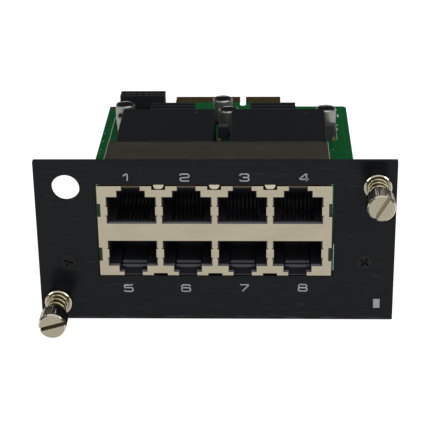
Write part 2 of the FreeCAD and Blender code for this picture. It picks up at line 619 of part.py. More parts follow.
# ------------------------------------------------------------ capacitors
for name, (xc, yc) in CANS.items():
    r = CAN_D / 2.0
    rg = r - CAN_GROOVE_DEPTH
    z0 = BOARD_TOP + CAN_BASE_H
    z1 = BOARD_TOP + CAN_TOP
    g0 = BOARD_TOP + CAN_GROOVE_Z
    g1 = g0 + CAN_GROOVE_H
    profile = [(0, z0), (r - 0.15, z0), (r, z0 + 0.15), (r, g0 - 0.12), (rg, g0 + 0.12), (rg, g1 - 0.12),
               (r, g1 + 0.12), (r, z1 - 0.5), (r - 0.05, z1 - 0.28), (r - 0.18, z1 - 0.1),
               (r - 0.34, z1 - 0.02), (r - 0.5, z1), (r - 0.7, z1 - 0.04),
               (r - 0.8, z1 - CAN_DISH), (0, z1 - CAN_DISH)]
    points = [V(xc + a, yc, b) for a, b in profile]
    can = Part.Face(Part.makePolygon(points + [points[0]])).revolve(V(xc, yc, 0), V(0, 0, 1), 360)
    save("capacitor_can_%s" % name, can)
    h = CAN_BASE_W / 2.0
    c = 1.3
    foot = [(xc - h, yc - h + c), (xc - h + c, yc - h), (xc + h - c, yc - h), (xc + h, yc - h + c),
            (xc + h, yc + h), (xc - h, yc + h)]
    save("capacitor_base_%s" % name, along_z(foot, BOARD_TOP, z0))

# small black chokes and ceramic chips beside them
CHOKE_H = 4.4
CHOKES = {"centre": (-0.6, 95.0), "right": (32.85, 96.0)}
for name, (x, y) in CHOKES.items():
    body = box(x - 1.6, x + 1.6, y - 1.5, y + 1.5, BOARD_TOP, BOARD_TOP + CHOKE_H)
    rim = [e for e in body.Edges if e.BoundBox.ZLength > CHOKE_H - 0.01]
    save("choke_%s" % name, body.makeFillet(0.5, rim))
CHIPS = ((34.0, 93.7), (-1.9, 92.6))
chips = []
for x, y in CHIPS:
    chips.append(box(x - 0.4, x + 0.4, y - 0.8, y + 0.8, BOARD_TOP, BOARD_TOP + 0.7))
save("chip_capacitors", Part.makeCompound(chips))

# ------------------------------------------------------------ rear socket
x0 = SOCKET_X - SOCKET_L / 2.0
socket = box(x0, x0 + SOCKET_L, SOCKET_REAR - SOCKET_W, SOCKET_REAR, BOARD_TOP, BOARD_TOP + SOCKET_H)
PIN_W = 0.5
pins = []
mouths = []
for x, y in socket_pins:
    pins.append(box(x - PIN_W / 2.0, x + PIN_W / 2.0, y - PIN_W / 2.0, y + PIN_W / 2.0,
                    TAIL_TIP, BOARD_TOP + 2.0))
    mouths.append(box(x - 0.45, x + 0.45, y - 0.45, y + 0.45, BOARD_TOP + 3.5, BOARD_TOP + SOCKET_H + 1))
save("rear_socket", cut_all(socket, pins + mouths))
save("rear_socket_pins", Part.makeCompound(pins))

# ------------------------------------------------------------ brackets
for name, s in (("left", -1), ("right", 1)):
    xc = s * BRACKET_X
    x0 = xc - BRACKET_W / 2.0
    x1 = xc + BRACKET_W / 2.0
    bent = [(PANEL_T, BOARD_TOP + 0.0), (PANEL_T + BRACKET_L, BOARD_TOP), (PANEL_T + BRACKET_L, BOARD_TOP + BRACKET_T),
            (PANEL_T + BRACKET_T, BOARD_TOP + BRACKET_T), (PANEL_T + BRACKET_T, BOARD_TOP + BRACKET_H),
            (PANEL_T, BOARD_TOP + BRACKET_H)]
    bracket = along_x(bent, x0, x1)
    bx = s * (BRACKET_X - 0.6)
    tapped = [rod_y(s * SCREW_X, SCREW_Z, SCREW_D, 0, PANEL_T + BRACKET_T + 1),
              rod_z(bx, BOARD_SCREW_Y, SCREW_D, BOARD_TOP - 1, BOARD_TOP + BRACKET_T + 1)]
    save("bracket_%s" % name, cut_all(bracket, tapped))
    # countersunk screw with a cross recess, through panel and bracket
    r = SCREW_D / 2.0
    rh = SCREW_HEAD_D / 2.0 - 0.05
    shank_end = PANEL_T + BRACKET_T + 1.4
    screw = turned_y(s * SCREW_X, SCREW_Z, [(0, 0.05), (rh - 0.1, 0.05), (rh - 0.1, 0.15), (r, 0.15 + rh - 0.1 - r),
                                            (r, shank_end - 0.3), (r - 0.3, shank_end), (0, shank_end)])
    cross = [box(s * SCREW_X - 1.25, s * SCREW_X + 1.25, -1, 0.75, SCREW_Z - 0.24, SCREW_Z + 0.24),
             box(s * SCREW_X - 0.24, s * SCREW_X + 0.24, -1, 0.75, SCREW_Z - 1.25, SCREW_Z + 1.25)]
    spin = 20.0 if s < 0 else 38.0
    for blade in cross:
        blade.rotate(V(s * SCREW_X, 0, SCREW_Z), V(0, 1, 0), spin)
    save("panel_screw_%s" % name, cut_all(screw, cross))
    # pan head screw from below the board into the bracket
    head = [rod_z(bx, BOARD_SCREW_Y, 4.5, BOARD_BOTTOM - 1.5, BOARD_BOTTOM),
            rod_z(bx, BOARD_SCREW_Y, SCREW_D, BOARD_BOTTOM - 0.2, BOARD_TOP + BRACKET_T)]
    recess = [box(bx - 1.2, bx + 1.2, BOARD_SCREW_Y - 0.24, BOARD_SCREW_Y + 0.24, BOARD_BOTTOM - 2, BOARD_BOTTOM - 0.6),
              box(bx - 0.24, bx + 0.24, BOARD_SCREW_Y - 1.2, BOARD_SCREW_Y + 1.2, BOARD_BOTTOM - 2, BOARD_BOTTOM - 0.6)]
    save("board_screw_%s" % name, cut_all(join(head), recess))

# ------------------------------------------------------------ thumbscrews
for name, (x, z) in THUMB_POSITIONS.items():
    r = THUMB_HEAD_D / 2.0
    c = THUMB_CHAMFER
    rs = SHANK_D / 2.0
    rg = RING_GROOVE_D / 2.0
    ring_y0 = PANEL_T + 0.02
    ring_y1 = ring_y0 + RING_T
    groove = (ring_y0 - 0.05, ring_y1 + 0.05)
    screw = turned_y(x, z, [(0, THUMB_FRONT_Y), (r - c, THUMB_FRONT_Y), (r, THUMB_FRONT_Y + c),
                            (r, THUMB_BACK_Y - 0.25), (r - 0.25, THUMB_BACK_Y), (rs, THUMB_BACK_Y),
                            (rs, groove[0]), (rg, groove[0]), (rg, groove[1]), (rs, groove[1]),
                            (rs, SHANK_END_Y - 0.5), (rs - 0.5, SHANK_END_Y), (0, SHANK_END_Y)])
    slot = box(x - r - 1, x + r + 1, THUMB_FRONT_Y - 1, THUMB_FRONT_Y + THUMB_SLOT_DEPTH,
               z - THUMB_SLOT_W / 2.0, z + THUMB_SLOT_W / 2.0)
    slot.rotate(V(x, 0, z), V(0, 1, 0), -THUMB_SLOT_ANGLE[name])
    save("thumbscrew_%s" % name, screw.cut(slot))

    rf = FERRULE_D / 2.0
    seat_r = SPRING_D / 2.0 + 0.1
    bore = rs + SHANK_FIT
    barrel = FERRULE_BARREL_D / 2.0
    ferrule = turned_y(x, z, [(bore, SEAT_Y), (seat_r, SEAT_Y), (seat_r, -FERRULE_PROUD),
                              (rf - 0.25, -FERRULE_PROUD), (rf, -FERRULE_PROUD + 0.25), (rf, 0),
                              (barrel, 0), (barrel, PANEL_T), (bore, PANEL_T)])
    save("ferrule_%s" % name, ferrule)

    ring = rod_y(x, z, RING_D, ring_y0, ring_y1).cut(
        rod_y(x, z, RING_GROOVE_D + 2 * RING_FIT, ring_y0 - 1, ring_y1 + 1))
    mouth = box(x - 0.85, x + 0.85, ring_y0 - 1, ring_y1 + 1, z - RING_D, z)
    save("retaining_ring_%s" % name, ring.cut(mouth))

    # coil spring from the ferrule's seat to the back of the head
    wire_r = SPRING_WIRE_D / 2.0
    mean_r = SPRING_D / 2.0 - wire_r
    length = SEAT_Y - THUMB_BACK_Y - SPRING_WIRE_D
    helix = Part.makeHelix(length / SPRING_TURNS, length, mean_r)
    section = [V(mean_r + wire_r * math.cos(math.radians(a)), 0, wire_r * math.sin(math.radians(a)))
               for a in range(30, 390, 60)]
    coil = Part.Wire(helix.Edges).makePipeShell([Part.makePolygon(section + section[:1])], True, True)
    coil.rotate(V(0, 0, 0), V(1, 0, 0), -90)
    coil.translate(V(x, THUMB_BACK_Y + wire_r, z))
    save("spring_%s" % name, coil)
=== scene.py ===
# %% [markdown]
# # A switch line card
# A line card slides into a switch chassis: a black aluminium panel carries a
# block of eight modular jacks, and behind it lies a circuit board that plugs
# in by its edge.  The construction is loaded first, as a frame that is already
# at its real size in metres, so this file only gives every piece its finish
# and makes the small things that are all looks: springs, knurling, printing
# and solder.

# %% Load the frame
import bpy
import bmesh
import json
import math
from mathutils import Matrix, Vector


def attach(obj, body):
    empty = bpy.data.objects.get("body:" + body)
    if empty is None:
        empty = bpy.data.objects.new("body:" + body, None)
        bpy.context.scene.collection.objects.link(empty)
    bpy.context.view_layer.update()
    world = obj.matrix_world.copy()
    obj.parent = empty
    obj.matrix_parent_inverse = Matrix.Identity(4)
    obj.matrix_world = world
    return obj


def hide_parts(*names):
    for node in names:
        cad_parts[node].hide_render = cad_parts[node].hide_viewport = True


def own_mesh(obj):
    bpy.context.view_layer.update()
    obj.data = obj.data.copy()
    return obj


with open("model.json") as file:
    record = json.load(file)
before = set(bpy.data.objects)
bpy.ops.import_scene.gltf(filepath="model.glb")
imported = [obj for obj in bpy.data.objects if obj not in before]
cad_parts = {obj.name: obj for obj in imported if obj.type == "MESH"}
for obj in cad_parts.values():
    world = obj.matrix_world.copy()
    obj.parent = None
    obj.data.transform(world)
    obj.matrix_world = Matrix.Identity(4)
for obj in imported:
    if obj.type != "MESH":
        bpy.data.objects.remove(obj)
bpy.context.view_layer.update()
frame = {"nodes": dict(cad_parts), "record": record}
nodes = frame["nodes"]

# %% [markdown]
# ## Colours, lengths and nodes
# A few small helpers carry the whole file.  Paint colours are written the way
# a paint chip gives them, as sRGB hex, and Blender's shaders want linear
# light, so one function converts them.  Pattern sizes are written in
# millimetres, and a texture's scale counts repeats in a metre.  Another
# function adds a shader or geometry node with its settings and its links: a
# whole number as a key is the place of a socket in the node's list.  So in a
# Map Range, 1 and 2 are the range it reads and 3 and 4 the one it gives, and in
# a Mix of colours, 0 is the share, 6 and 7 are the colours and 2 is the result.

# %% Helpers
MM = 0.001


def paint(code):
    """A hex colour as linear red, green, blue and full alpha."""
    channels = [int(code[i:i + 2], 16) / 255 for i in (1, 3, 5)]
    return tuple(c / 12.92 if c <= 0.04045 else ((c + 0.055) / 1.055) ** 2.4
                 for c in channels) + (1.0,)


def per_metre(size_mm):
    """The texture scale whose features are about this wide."""
    return 1000.0 / size_mm


def add(tree, kind, settings=None, links=None):
    """One node: settings fill properties and sockets, links join sockets.

    A link comes from an output socket, or from a node's first output.
    """
    node = tree.nodes.new(kind)
    for key, value in (settings or {}).items():
        if isinstance(key, int) or key in node.inputs:
            node.inputs[key].default_value = value
        else:
            setattr(node, key, value)
    for key, source in (links or {}).items():
        tree.links.new(getattr(source, "outputs", [source])[0], node.inputs[key])
    return node


print("linear value of a mid grey chip:", round(paint("#808080")[0], 3))

# %% [markdown]
# ## A finish and its wear
# No real surface is quite even.  So a finish starts as one Principled shader
# and is then worn: one noise, of a size in millimetres, shifts its colour, its
# gloss and its height together, because a rubbed or dusty spot changes all
# three.  Some finishes need no more than that.  Others also read where on the
# object a face lies and which way it points.

# %% Start a finish and wear it
def finish(name, colour, metallic, roughness, ior=1.5, **extra):
    """A new material: its tree, its shader and the object's coordinates."""
    material = bpy.data.materials.new(name)
    material.use_nodes = True
    tree = material.node_tree
    shader = tree.nodes["Principled BSDF"]
    shader.inputs["Base Color"].default_value = paint(colour)
    shader.inputs["Metallic"].default_value = metallic
    shader.inputs["Roughness"].default_value = roughness
    if not metallic:
        shader.inputs["IOR"].default_value = ior
    for key, value in extra.items():
        shader.inputs[key.replace("_", " ")].default_value = value
    place = add(tree, "ShaderNodeTexCoord").outputs["Object"]
    return material, tree, shader, place


def pointing(tree):
    """The X, Y and Z of the way a face points."""
    normal = add(tree, "ShaderNodeNewGeometry").outputs["True Normal"]
    return add(tree, "ShaderNodeSeparateXYZ", {}, {0: normal}).outputs


def wear(tree, shader, place, size_mm, colours, roughness, height_mm,
         stretch=(1, 1, 1)):
    """Uneven colour, gloss and height from one noise of a real size."""
    squeeze = add(tree, "ShaderNodeMapping", {"Scale": stretch}, {"Vector": place})
    noise = add(tree, "ShaderNodeTexNoise",
                {"Scale": per_metre(size_mm), "Detail": 6.0, "Roughness": 0.6},
                {"Vector": squeeze}).outputs[0]
    tint = add(tree, "ShaderNodeMix",
               {"data_type": "RGBA", 6: paint(colours[0]), 7: paint(colours[1])},
               {0: noise})
    gloss = add(tree, "ShaderNodeMapRange", {3: roughness[0], 4: roughness[1]},
                {0: noise})
    bump = add(tree, "ShaderNodeBump", {"Strength": 0.5, "Distance": height_mm * MM},
               {"Height": noise})
    tree.links.new(tint.outputs[2], shader.inputs["Base Color"])
    tree.links.new(gloss.outputs[0], shader.inputs["Roughness"])
    tree.links.new(bump.outputs[0], shader.inputs["Normal"])
    return noise, tint.outputs[2], gloss.outputs[0], bump


def worn_finish(name, colour, metallic, roughness, size_mm, tones, gloss, height_mm,
                **extra):
    """A finish that has nothing but uneven wear."""
    material, tree, shader, place = finish(name, colour, metallic, roughness, **extra)
    wear(tree, shader, place, size_mm, tones, gloss, height_mm)
    return material


print("a grain of 0.25 mm has the scale", per_metre(0.25))

# %% [markdown]
# ## Black anodised aluminium
# The panel is sheet aluminium that was brushed along its length, then
# anodised and dyed black.  The dye takes nearly all the colour, so it is not
# treated as bare metal: a dark base with a weak sheen, and hairlines that run
# along X.  The hairlines come from a noise squeezed to long thin streaks; real
# ones are about 0.05 mm wide, drawn here at 0.25 mm so that they show.  A
# scratch now and then breaks through to a paler grey, and the lower edge is
# rubbed in patches.  The cutter leaves the walls of the holes matt, so a face
# that doesn't look along Y is rougher.

# %% Panel finish
HAIRLINE, SCUFF = (0.03, 1, 1), (0.08, 1, 1)    # stretched along X
EDGE_CLEAN, EDGE_WORN = 1.1 * MM, 0.3 * MM      # heights above the lower edge
black_anodised, tree, shader, place = finish(
    "aluminium_anodised_black_brushed", "#0f1013", 0.0, 0.2, Specular_IOR_Level=0.11)
_, tint, gloss, _ = wear(tree, shader, place, 0.25, ("#0a0b0d", "#15171c"),
                         (0.12, 0.24), 0.001, HAIRLINE)
scuff = add(tree, "ShaderNodeTexNoise", {"Scale": per_metre(0.5), "Detail": 4.0},
            {"Vector": add(tree, "ShaderNodeMapping", {"Scale": SCUFF}, {0: place})})
scuffed = add(tree, "ShaderNodeMapRange", {1: 0.62, 2: 0.8, 3: 0.0, 4: 0.5}, {0: scuff})
low_edge = add(tree, "ShaderNodeMapRange", {1: EDGE_CLEAN, 2: EDGE_WORN},
               {0: add(tree, "ShaderNodeSeparateXYZ", {}, {0: place}).outputs["Z"]})
patchy = add(tree, "ShaderNodeMapRange", {1: 0.5, 2: 0.62}, {0: scuff})
edge_wear = add(tree, "ShaderNodeMath", {"operation": "MULTIPLY"},
                {0: low_edge, 1: patchy})
worn = add(tree, "ShaderNodeMath", {"operation": "MAXIMUM"}, {0: scuffed, 1: edge_wear})
paler_tone = add(tree, "ShaderNodeMix", {"data_type": "RGBA", 7: paint("#3d4147")},
             {0: worn, 6: tint})
tree.links.new(paler_tone.outputs[2], shader.inputs["Base Color"])
flat = add(tree, "ShaderNodeMath", {"operation": "ABSOLUTE"}, {0: pointing(tree)["Y"]})
cut_wall = add(tree, "ShaderNodeMapRange", {1: 0.5, 2: 0.9, 3: 0.5, 4: 0.0}, {0: flat})
satin = add(tree, "ShaderNodeMath", {"operation": "ADD"}, {0: gloss, 1: cut_wall})
tree.links.new(satin.outputs[0], shader.inputs["Roughness"])
print("panel finish:", black_anodised.name)

# %% [markdown]
# ## Solder mask and its copper
# A circuit board is green epoxy-glass under a thin, glossy mask.  Copper
# tracks and planes lie under the mask and show as slightly lighter paths.  A
# brick pattern stands for the tracks.  The cut edges have no mask, so the
# material looks at which way the surface points and turns to the bare
# yellow-brown laminate there.  The plug-in tongue and one rear corner have no
# mask either: limits on the object's own Y and X pick them out.

# %% Board finish
TONGUE_BARE_Y, CORNER_BARE_Y, CORNER_BARE_X = 68.4 * MM, 61.8 * MM, -37.4 * MM
BRICK_MM, ROW_SHARE = 2.4, 0.42                 # so tracks lie about 1 mm apart
solder_mask, tree, shader, place = finish("solder_mask_green_on_glass_epoxy", "#0d4f28",
                                          0.0, 0.2, Specular_IOR_Level=0.1)
noise, tint, _, _ = wear(tree, shader, place, 6.0, ("#043d1d", "#0a4b26"),
                         (0.14, 0.24), 0.003)
tracks = add(tree, "ShaderNodeTexBrick",
             {"Scale": per_metre(BRICK_MM), "Mortar Size": 0.08, "Mortar Smooth": 0.3,
              "Brick Width": 2.6, "Row Height": ROW_SHARE, "offset": 0.5},
             {"Vector": place})
copper = add(tree, "ShaderNodeMix", {"data_type": "RGBA", 7: paint("#0c5a2b")},
             {0: tracks.outputs["Fac"], 6: tint})
upright = add(tree, "ShaderNodeMath", {"operation": "ABSOLUTE"},
              {0: pointing(tree)["Z"]})
flat = add(tree, "ShaderNodeMath", {"operation": "GREATER_THAN", 1: 0.6}, {0: upright})
spot = add(tree, "ShaderNodeSeparateXYZ", {}, {0: place}).outputs
tongue = add(tree, "ShaderNodeMath", {"operation": "LESS_THAN", 1: TONGUE_BARE_Y},
             {0: spot["Y"]})
corner = add(tree, "ShaderNodeMath", {"operation": "LESS_THAN", 1: CORNER_BARE_Y},
             {0: spot["Y"]})
inner = add(tree, "ShaderNodeMath", {"operation": "GREATER_THAN", 1: CORNER_BARE_X},
            {0: spot["X"]})
corner = add(tree, "ShaderNodeMath", {"operation": "MAXIMUM"}, {0: corner, 1: inner})
masked = add(tree, "ShaderNodeMath", {"operation": "MULTIPLY"}, {0: tongue, 1: corner})
masked = add(tree, "ShaderNodeMath", {"operation": "MULTIPLY"}, {0: masked, 1: flat})
weave = add(tree, "ShaderNodeMix",
            {"data_type": "RGBA", 6: paint("#33290f"), 7: paint("#4a3c1c")}, {0: noise})
laminate = add(tree, "ShaderNodeMix", {"data_type": "RGBA"},
               {0: masked, 6: weave.outputs[2], 7: copper.outputs[2]})
tree.links.new(laminate.outputs[2], shader.inputs["Base Color"])
print("board finish:", solder_mask.name)

# %% [markdown]
# ## Nickel plate on the jack's shield
# The shield is thin nickel-plated steel, pressed and folded.  It is metal, so
# it keeps a metal's default IOR and takes its warm grey from the base colour.
# Rolling leaves faint streaks and handling leaves patches, both of which change
# the gloss more than the colour.  Where the sheet was sheared, its edge is bare
# brown steel: that is any face that looks forward but lies behind the front
# sheet.  Out at the sides such an edge lies in the window's gap and is painted
# darker there, a painted shade.  The long folds between top and sides are
# painted darker too, a painted shade.

# %% Shield finish
FRONT_SHEET_BACK, SIDE_GAP_X = -60.2 * MM, 28.0 * MM
FOLD_SLOPE, FOLD_SPREAD = 0.6, 0.38             # of the normal's sideways part
shield_nickel, tree, shader, place = finish("nickel_plated_steel", "#a39b88", 1.0, 0.2)
tint = wear(tree, shader, place, 2.5, ("#968e7b", "#aca491"), (0.2, 0.3), 0.0003,
            (0.3, 1, 1))[1]
spot = add(tree, "ShaderNodeSeparateXYZ", {}, {0: place}).outputs
normal = pointing(tree)
behind = add(tree, "ShaderNodeMath", {"operation": "GREATER_THAN", 1: FRONT_SHEET_BACK},
             {0: spot["Y"]})
forward = add(tree, "ShaderNodeMath", {"operation": "LESS_THAN", 1: -0.9},
              {0: normal["Y"]})
cut = add(tree, "ShaderNodeMath", {"operation": "MULTIPLY"}, {0: behind, 1: forward})
out_side = add(tree, "ShaderNodeMath", {"operation": "ABSOLUTE"}, {0: spot["X"]})
# Sheared edges out past SIDE_GAP_X lie in the window's gap and take a painted shade.
gap_shade_side = add(tree, "ShaderNodeMath", {"operation": "GREATER_THAN", 1: SIDE_GAP_X},
               {0: out_side})
sheared_edge_and_gap_shade = add(tree, "ShaderNodeMix",
                {"data_type": "RGBA", 6: paint("#5c4d3b"), 7: paint("#26241f")},
                {0: gap_shade_side})
sheared_and_gap_shaded = add(tree, "ShaderNodeMix", {"data_type": "RGBA"},
              {0: cut, 6: tint, 7: sheared_edge_and_gap_shade.outputs[2]})
# The folds between top and sides are painted darker: painted shade.
sideways = add(tree, "ShaderNodeMath", {"operation": "ABSOLUTE"}, {0: normal["X"]})
slanted = add(tree, "ShaderNodeMath",
              {"operation": "COMPARE", 1: FOLD_SLOPE, 2: FOLD_SPREAD}, {0: sideways})
upward = add(tree, "ShaderNodeMath", {"operation": "GREATER_THAN", 1: 0.1},
             {0: normal["Z"]})
fold_shade_mask = add(tree, "ShaderNodeMath", {"operation": "MULTIPLY"}, {0: slanted, 1: upward})
fold_painted_shade = add(tree, "ShaderNodeMix", {"data_type": "RGBA", 7: paint("#4a463d")},
             {0: fold_shade_mask, 6: sheared_and_gap_shaded.outputs[2]})
tree.links.new(fold_painted_shade.outputs[2], shader.inputs["Base Color"])
print("shield finish:", shield_nickel.name)

# %% [markdown]
# ## Nickel plate on turned brass
# The thumbscrews, ferrules and springs are turned or wound and then bright
# plated.  They mirror more sharply than the sheet does.  A lathe leaves fine
# rings, about 0.1 mm apart, on a turned face; they are drawn 0.7 mm apart so
# that they show.  The thumbscrews carry their distance from the axis as an
# attribute named "lathe", in millimetres, and a sine of it gives the rings.
# A face between end and side, the bevel, is painted brighter: a painted highlight.
# The other screws are plainer: zinc plate below, black oxide in the panel.

# %% Turned and wound metal
RING_PITCH = 0.7
BEVEL_SLOPE, BEVEL_SPREAD = -0.66, 0.2          # of the normal's part along Y
thumb_nickel, tree, shader, place = finish("nickel_plated_brass_turned", "#948d7a",
                                           1.0, 0.2)
_, tint, _, bump = wear(tree, shader, place, 0.5, ("#918a78", "#a7a08e"),
                        (0.12, 0.24), 0.0004)
lathe = add(tree, "ShaderNodeAttribute", {"attribute_name": "lathe"}).outputs["Fac"]
rings = add(tree, "ShaderNodeMath",
            {"operation": "MULTIPLY", 1: 2 * math.pi / RING_PITCH}, {0: lathe})
rings = add(tree, "ShaderNodeMath", {"operation": "SINE"}, {0: rings})
groove = add(tree, "ShaderNodeMapRange", {1: -1.0, 2: 1.0, 3: 0.0, 4: 0.2}, {0: rings})
turned = add(tree, "ShaderNodeMix", {"data_type": "RGBA", 7: paint("#4d4638")},
             {0: groove, 6: tint})
# The bevel between end and side is painted brighter: a painted highlight.
bevel_highlight_mask = add(tree, "ShaderNodeMath",
            {"operation": "COMPARE", 1: BEVEL_SLOPE, 2: BEVEL_SPREAD},
            {0: pointing(tree)["Y"]})
bevel_painted_highlight = add(tree, "ShaderNodeMix", {"data_type": "RGBA", 7: paint("#bab4a3")},
                {0: bevel_highlight_mask, 6: turned.outputs[2]})
tree.links.new(bevel_painted_highlight.outputs[2], shader.inputs["Base Color"])
tree.links.new(add(tree, "ShaderNodeBump", {"Strength": 0.6, "Distance": 0.01 * MM},
                   {"Height": rings, "Normal": bump}).outputs[0],
               shader.inputs["Normal"])
spring_steel = worn_finish("spring_wire_nickel_plated", "#a59b80", 1.0, 0.2,
                           0.3, ("#958b6e", "#b8ae90"), (0.12, 0.22), 0.0003)
screw_zinc = worn_finish("zinc_plated_steel_screw", "#a9aaa6", 1.0, 0.35,
                         0.4, ("#9a9b98", "#b5b6b2"), (0.28, 0.45), 0.002)
bracket_zinc = worn_finish("zinc_plated_steel_sheet", "#a2a3a0", 1.0, 0.42,
                           1.5, ("#92938f", "#b0b1ae"), (0.34, 0.52), 0.003)
screw_black = worn_finish("black_oxide_steel_screw", "#1c1c1d", 0.0, 0.42,
                          0.25, ("#0b0b0c", "#151516"), (0.3, 0.45), 0.003,
                          ior=1.6, Specular_IOR_Level=0.12)
print("metals:", thumb_nickel.name, spring_steel.name, screw_zinc.name)

# %% [markdown]
# ## Gold, tin and drawn aluminium
# Card-edge fingers and contact wires are gold over nickel; solder leads are
# tinned.  Flashed gold is thin and dulls.  The wires are painted far darker
# than gold, a painted shade, because deep in a port they show only as faint
# lines.  The capacitors' cans are drawn aluminium: the die leaves their sides
# satin, and their flat tops are smooth and painted darker, a painted shade.

# %% Contact metals and cans
gold_plate = worn_finish("hard_gold_edge_contact", "#7a6130", 1.0, 0.3,
                         0.8, ("#6b5428", "#8a7038"), (0.24, 0.4), 0.001)
# The wires' colour is a painted shade, far darker than gold.
contact_gold = worn_finish("gold_flash_contact_wire_painted_dark", "#4c493f", 1.0, 0.4,
                           0.5, ("#403d34", "#59564b"), (0.34, 0.48), 0.0005)
tin_plate = worn_finish("tinned_copper_lead", "#a9a9a6", 1.0, 0.34,
                        0.4, ("#979794", "#b6b6b3"), (0.28, 0.44), 0.002)
can_aluminium, tree, shader, place = finish("aluminium_can_drawn", "#8e8e8a", 1.0, 0.3)
_, tint, gloss, _ = wear(tree, shader, place, 0.7, ("#82827e", "#9a9a96"),
                         (0.1, 0.2), 0.0004)
up = pointing(tree)["Z"]
side = add(tree, "ShaderNodeMapRange", {1: 0.5, 2: 0.95, 3: 0.34, 4: 0.0}, {0: up})
rough = add(tree, "ShaderNodeMath", {"operation": "ADD"}, {0: gloss, 1: side})
tree.links.new(rough.outputs[0], shader.inputs["Roughness"])
# Flat tops are painted darker: painted shade for the dark room they mirror.
flat = add(tree, "ShaderNodeMath", {"operation": "GREATER_THAN", 1: 0.97}, {0: up})
can_top_painted_shade = add(tree, "ShaderNodeMix", {"data_type": "RGBA", 7: paint("#525351")},
             {0: flat, 6: tint})
tree.links.new(can_top_painted_shade.outputs[2], shader.inputs["Base Color"])
print("contact metals:", gold_plate.name, contact_gold.name, tin_plate.name)

# %% [markdown]
# ## Moulded black plastics
# Jack housing, modules, sockets, seats and chips are all black, but no two
# are the same: glass-filled nylon is satin, epoxy moulding compound is dull
# and grainy, and the jack's thermoplastic is a little glossier.  Each has its
# own colour, grain and gloss.  The heat sinks are black anodised aluminium and
# join the table, because they look much like the plastics beside them.

# %% Plastics
# slot, finish, its two tones, gloss from and to, grain and height in mm, sheen
PLASTICS = [
    ("housing_black", "polyester_moulded_black", "#1a1a20", "#25252c",
     (0.26, 0.38), 0.5, 0.001, 0.28),
    ("insert_black", "nylon_moulded_black", "#2f2f37", "#3e3e48",
     (0.16, 0.3), 0.6, 0.003, 0.5),
    ("module_black", "epoxy_cast_module_black", "#0d0e11", "#17181b",
     (0.6, 0.75), 0.35, 0.003, 0.07),
    ("chip_black", "epoxy_chip_package", "#141415", "#1e1e1f",
     (0.5, 0.65), 0.15, 0.006, 0.15),
    ("sink_black", "aluminium_extruded_anodised_black", "#15161b", "#202227",
     (0.3, 0.42), 0.3, 0.003, 0.35),
    ("base_black", "phenolic_seat_black", "#1c1c1e", "#29292b",
     (0.4, 0.55), 0.4, 0.004, 0.15),
    ("choke_black", "ferrite_choke_black", "#2b2c2e", "#3d3f42",
     (0.4, 0.6), 0.3, 0.008, 0.2),
    ("socket_black", "nylon_glass_filled_socket", "#121316", "#1d1f23",
     (0.34, 0.5), 0.3, 0.005, 0.15)]
plastics = {}
for slot_name, title, low, high, gloss, grain_mm, height_mm, sheen in PLASTICS:
    material, tree, shader, place = finish(title, low, 0.0, gloss[0],
                                           Specular_IOR_Level=sheen)
    tint = wear(tree, shader, place, grain_mm, (low, high), gloss, height_mm)[1]
    plastics[slot_name] = material
    if slot_name == "housing_black":
        housing = (tree, shader, place, tint)
ceramic_tan = worn_finish("ceramic_chip_capacitor", "#8a6238", 0.0, 0.4,
                          0.4, ("#7d5730", "#9a7044"), (0.32, 0.5), 0.004, ior=1.6)
print("plastics:", sorted(plastics))

# %% [markdown]
# ## Painted highlight on the ports' lips
# Plugs slide over the front lips and latch steps of the ports.  Their bevels
# are painted a paler grey, a painted highlight.  The finish picks them out by
# where they lie, just behind the shield, and by their slope, half way between front and
# top.

# %% Painted highlight on lips and steps
LIP_HIGHLIGHT_BACK = -55.4 * MM
LIP_HIGHLIGHT_SLOPE, LIP_HIGHLIGHT_SPREAD = -0.707, 0.15      # of the normal's part along Y
tree, shader, place, tint = housing
behind = add(tree, "ShaderNodeMath", {"operation": "LESS_THAN", 1: LIP_HIGHLIGHT_BACK},
             {0: add(tree, "ShaderNodeSeparateXYZ", {}, {0: place}).outputs["Y"]})
bevel_highlight_mask = add(tree, "ShaderNodeMath",
            {"operation": "COMPARE", 1: LIP_HIGHLIGHT_SLOPE, 2: LIP_HIGHLIGHT_SPREAD},
            {0: pointing(tree)["Y"]})
lip_highlight_mask = add(tree, "ShaderNodeMath", {"operation": "MULTIPLY"}, {0: behind, 1: bevel_highlight_mask})
# The lip and step bevels are painted a paler grey: a painted highlight.
paler_tone = add(tree, "ShaderNodeMix", {"data_type": "RGBA", 7: paint("#424349")},
             {0: lip_highlight_mask, 6: tint})
tree.links.new(paler_tone.outputs[2], shader.inputs["Base Color"])
print("rubbed bevels lie in front of", round(LIP_HIGHLIGHT_BACK / MM, 1), "mm")

# %% [markdown]
# ## Dress the construction
# Every piece of the construction names a slot in its record, and each slot
# has one of the finishes above, so the pairing is a short table.

# %% Put the finishes on
finishes = dict(plastics, black_anodised=black_anodised, solder_mask=solder_mask,
                shield_nickel=shield_nickel, thumb_nickel=thumb_nickel,
                spring_steel=spring_steel, screw_zinc=screw_zinc,
                bracket_zinc=bracket_zinc, screw_black=screw_black,
                gold_plate=gold_plate, contact_gold=contact_gold, tin_plate=tin_plate,
                can_aluminium=can_aluminium, ceramic_tan=ceramic_tan)
for part in frame["record"]["subparts"]:
    piece = nodes[part["node"]]
    piece.material_slots[0].material = finishes[part["material_slot"]]

# %% [markdown]
# ## A helper for grown shapes
# Springs, knurls, threads, printed strokes and solder joints all repeat or
# follow a path, so Geometry Nodes make them.  A tree has named inputs with its
# sizes in metres.  The helper below hands the sizes to the modifier by each
# socket's identifier, evaluates the tree once, and keeps the plain mesh.

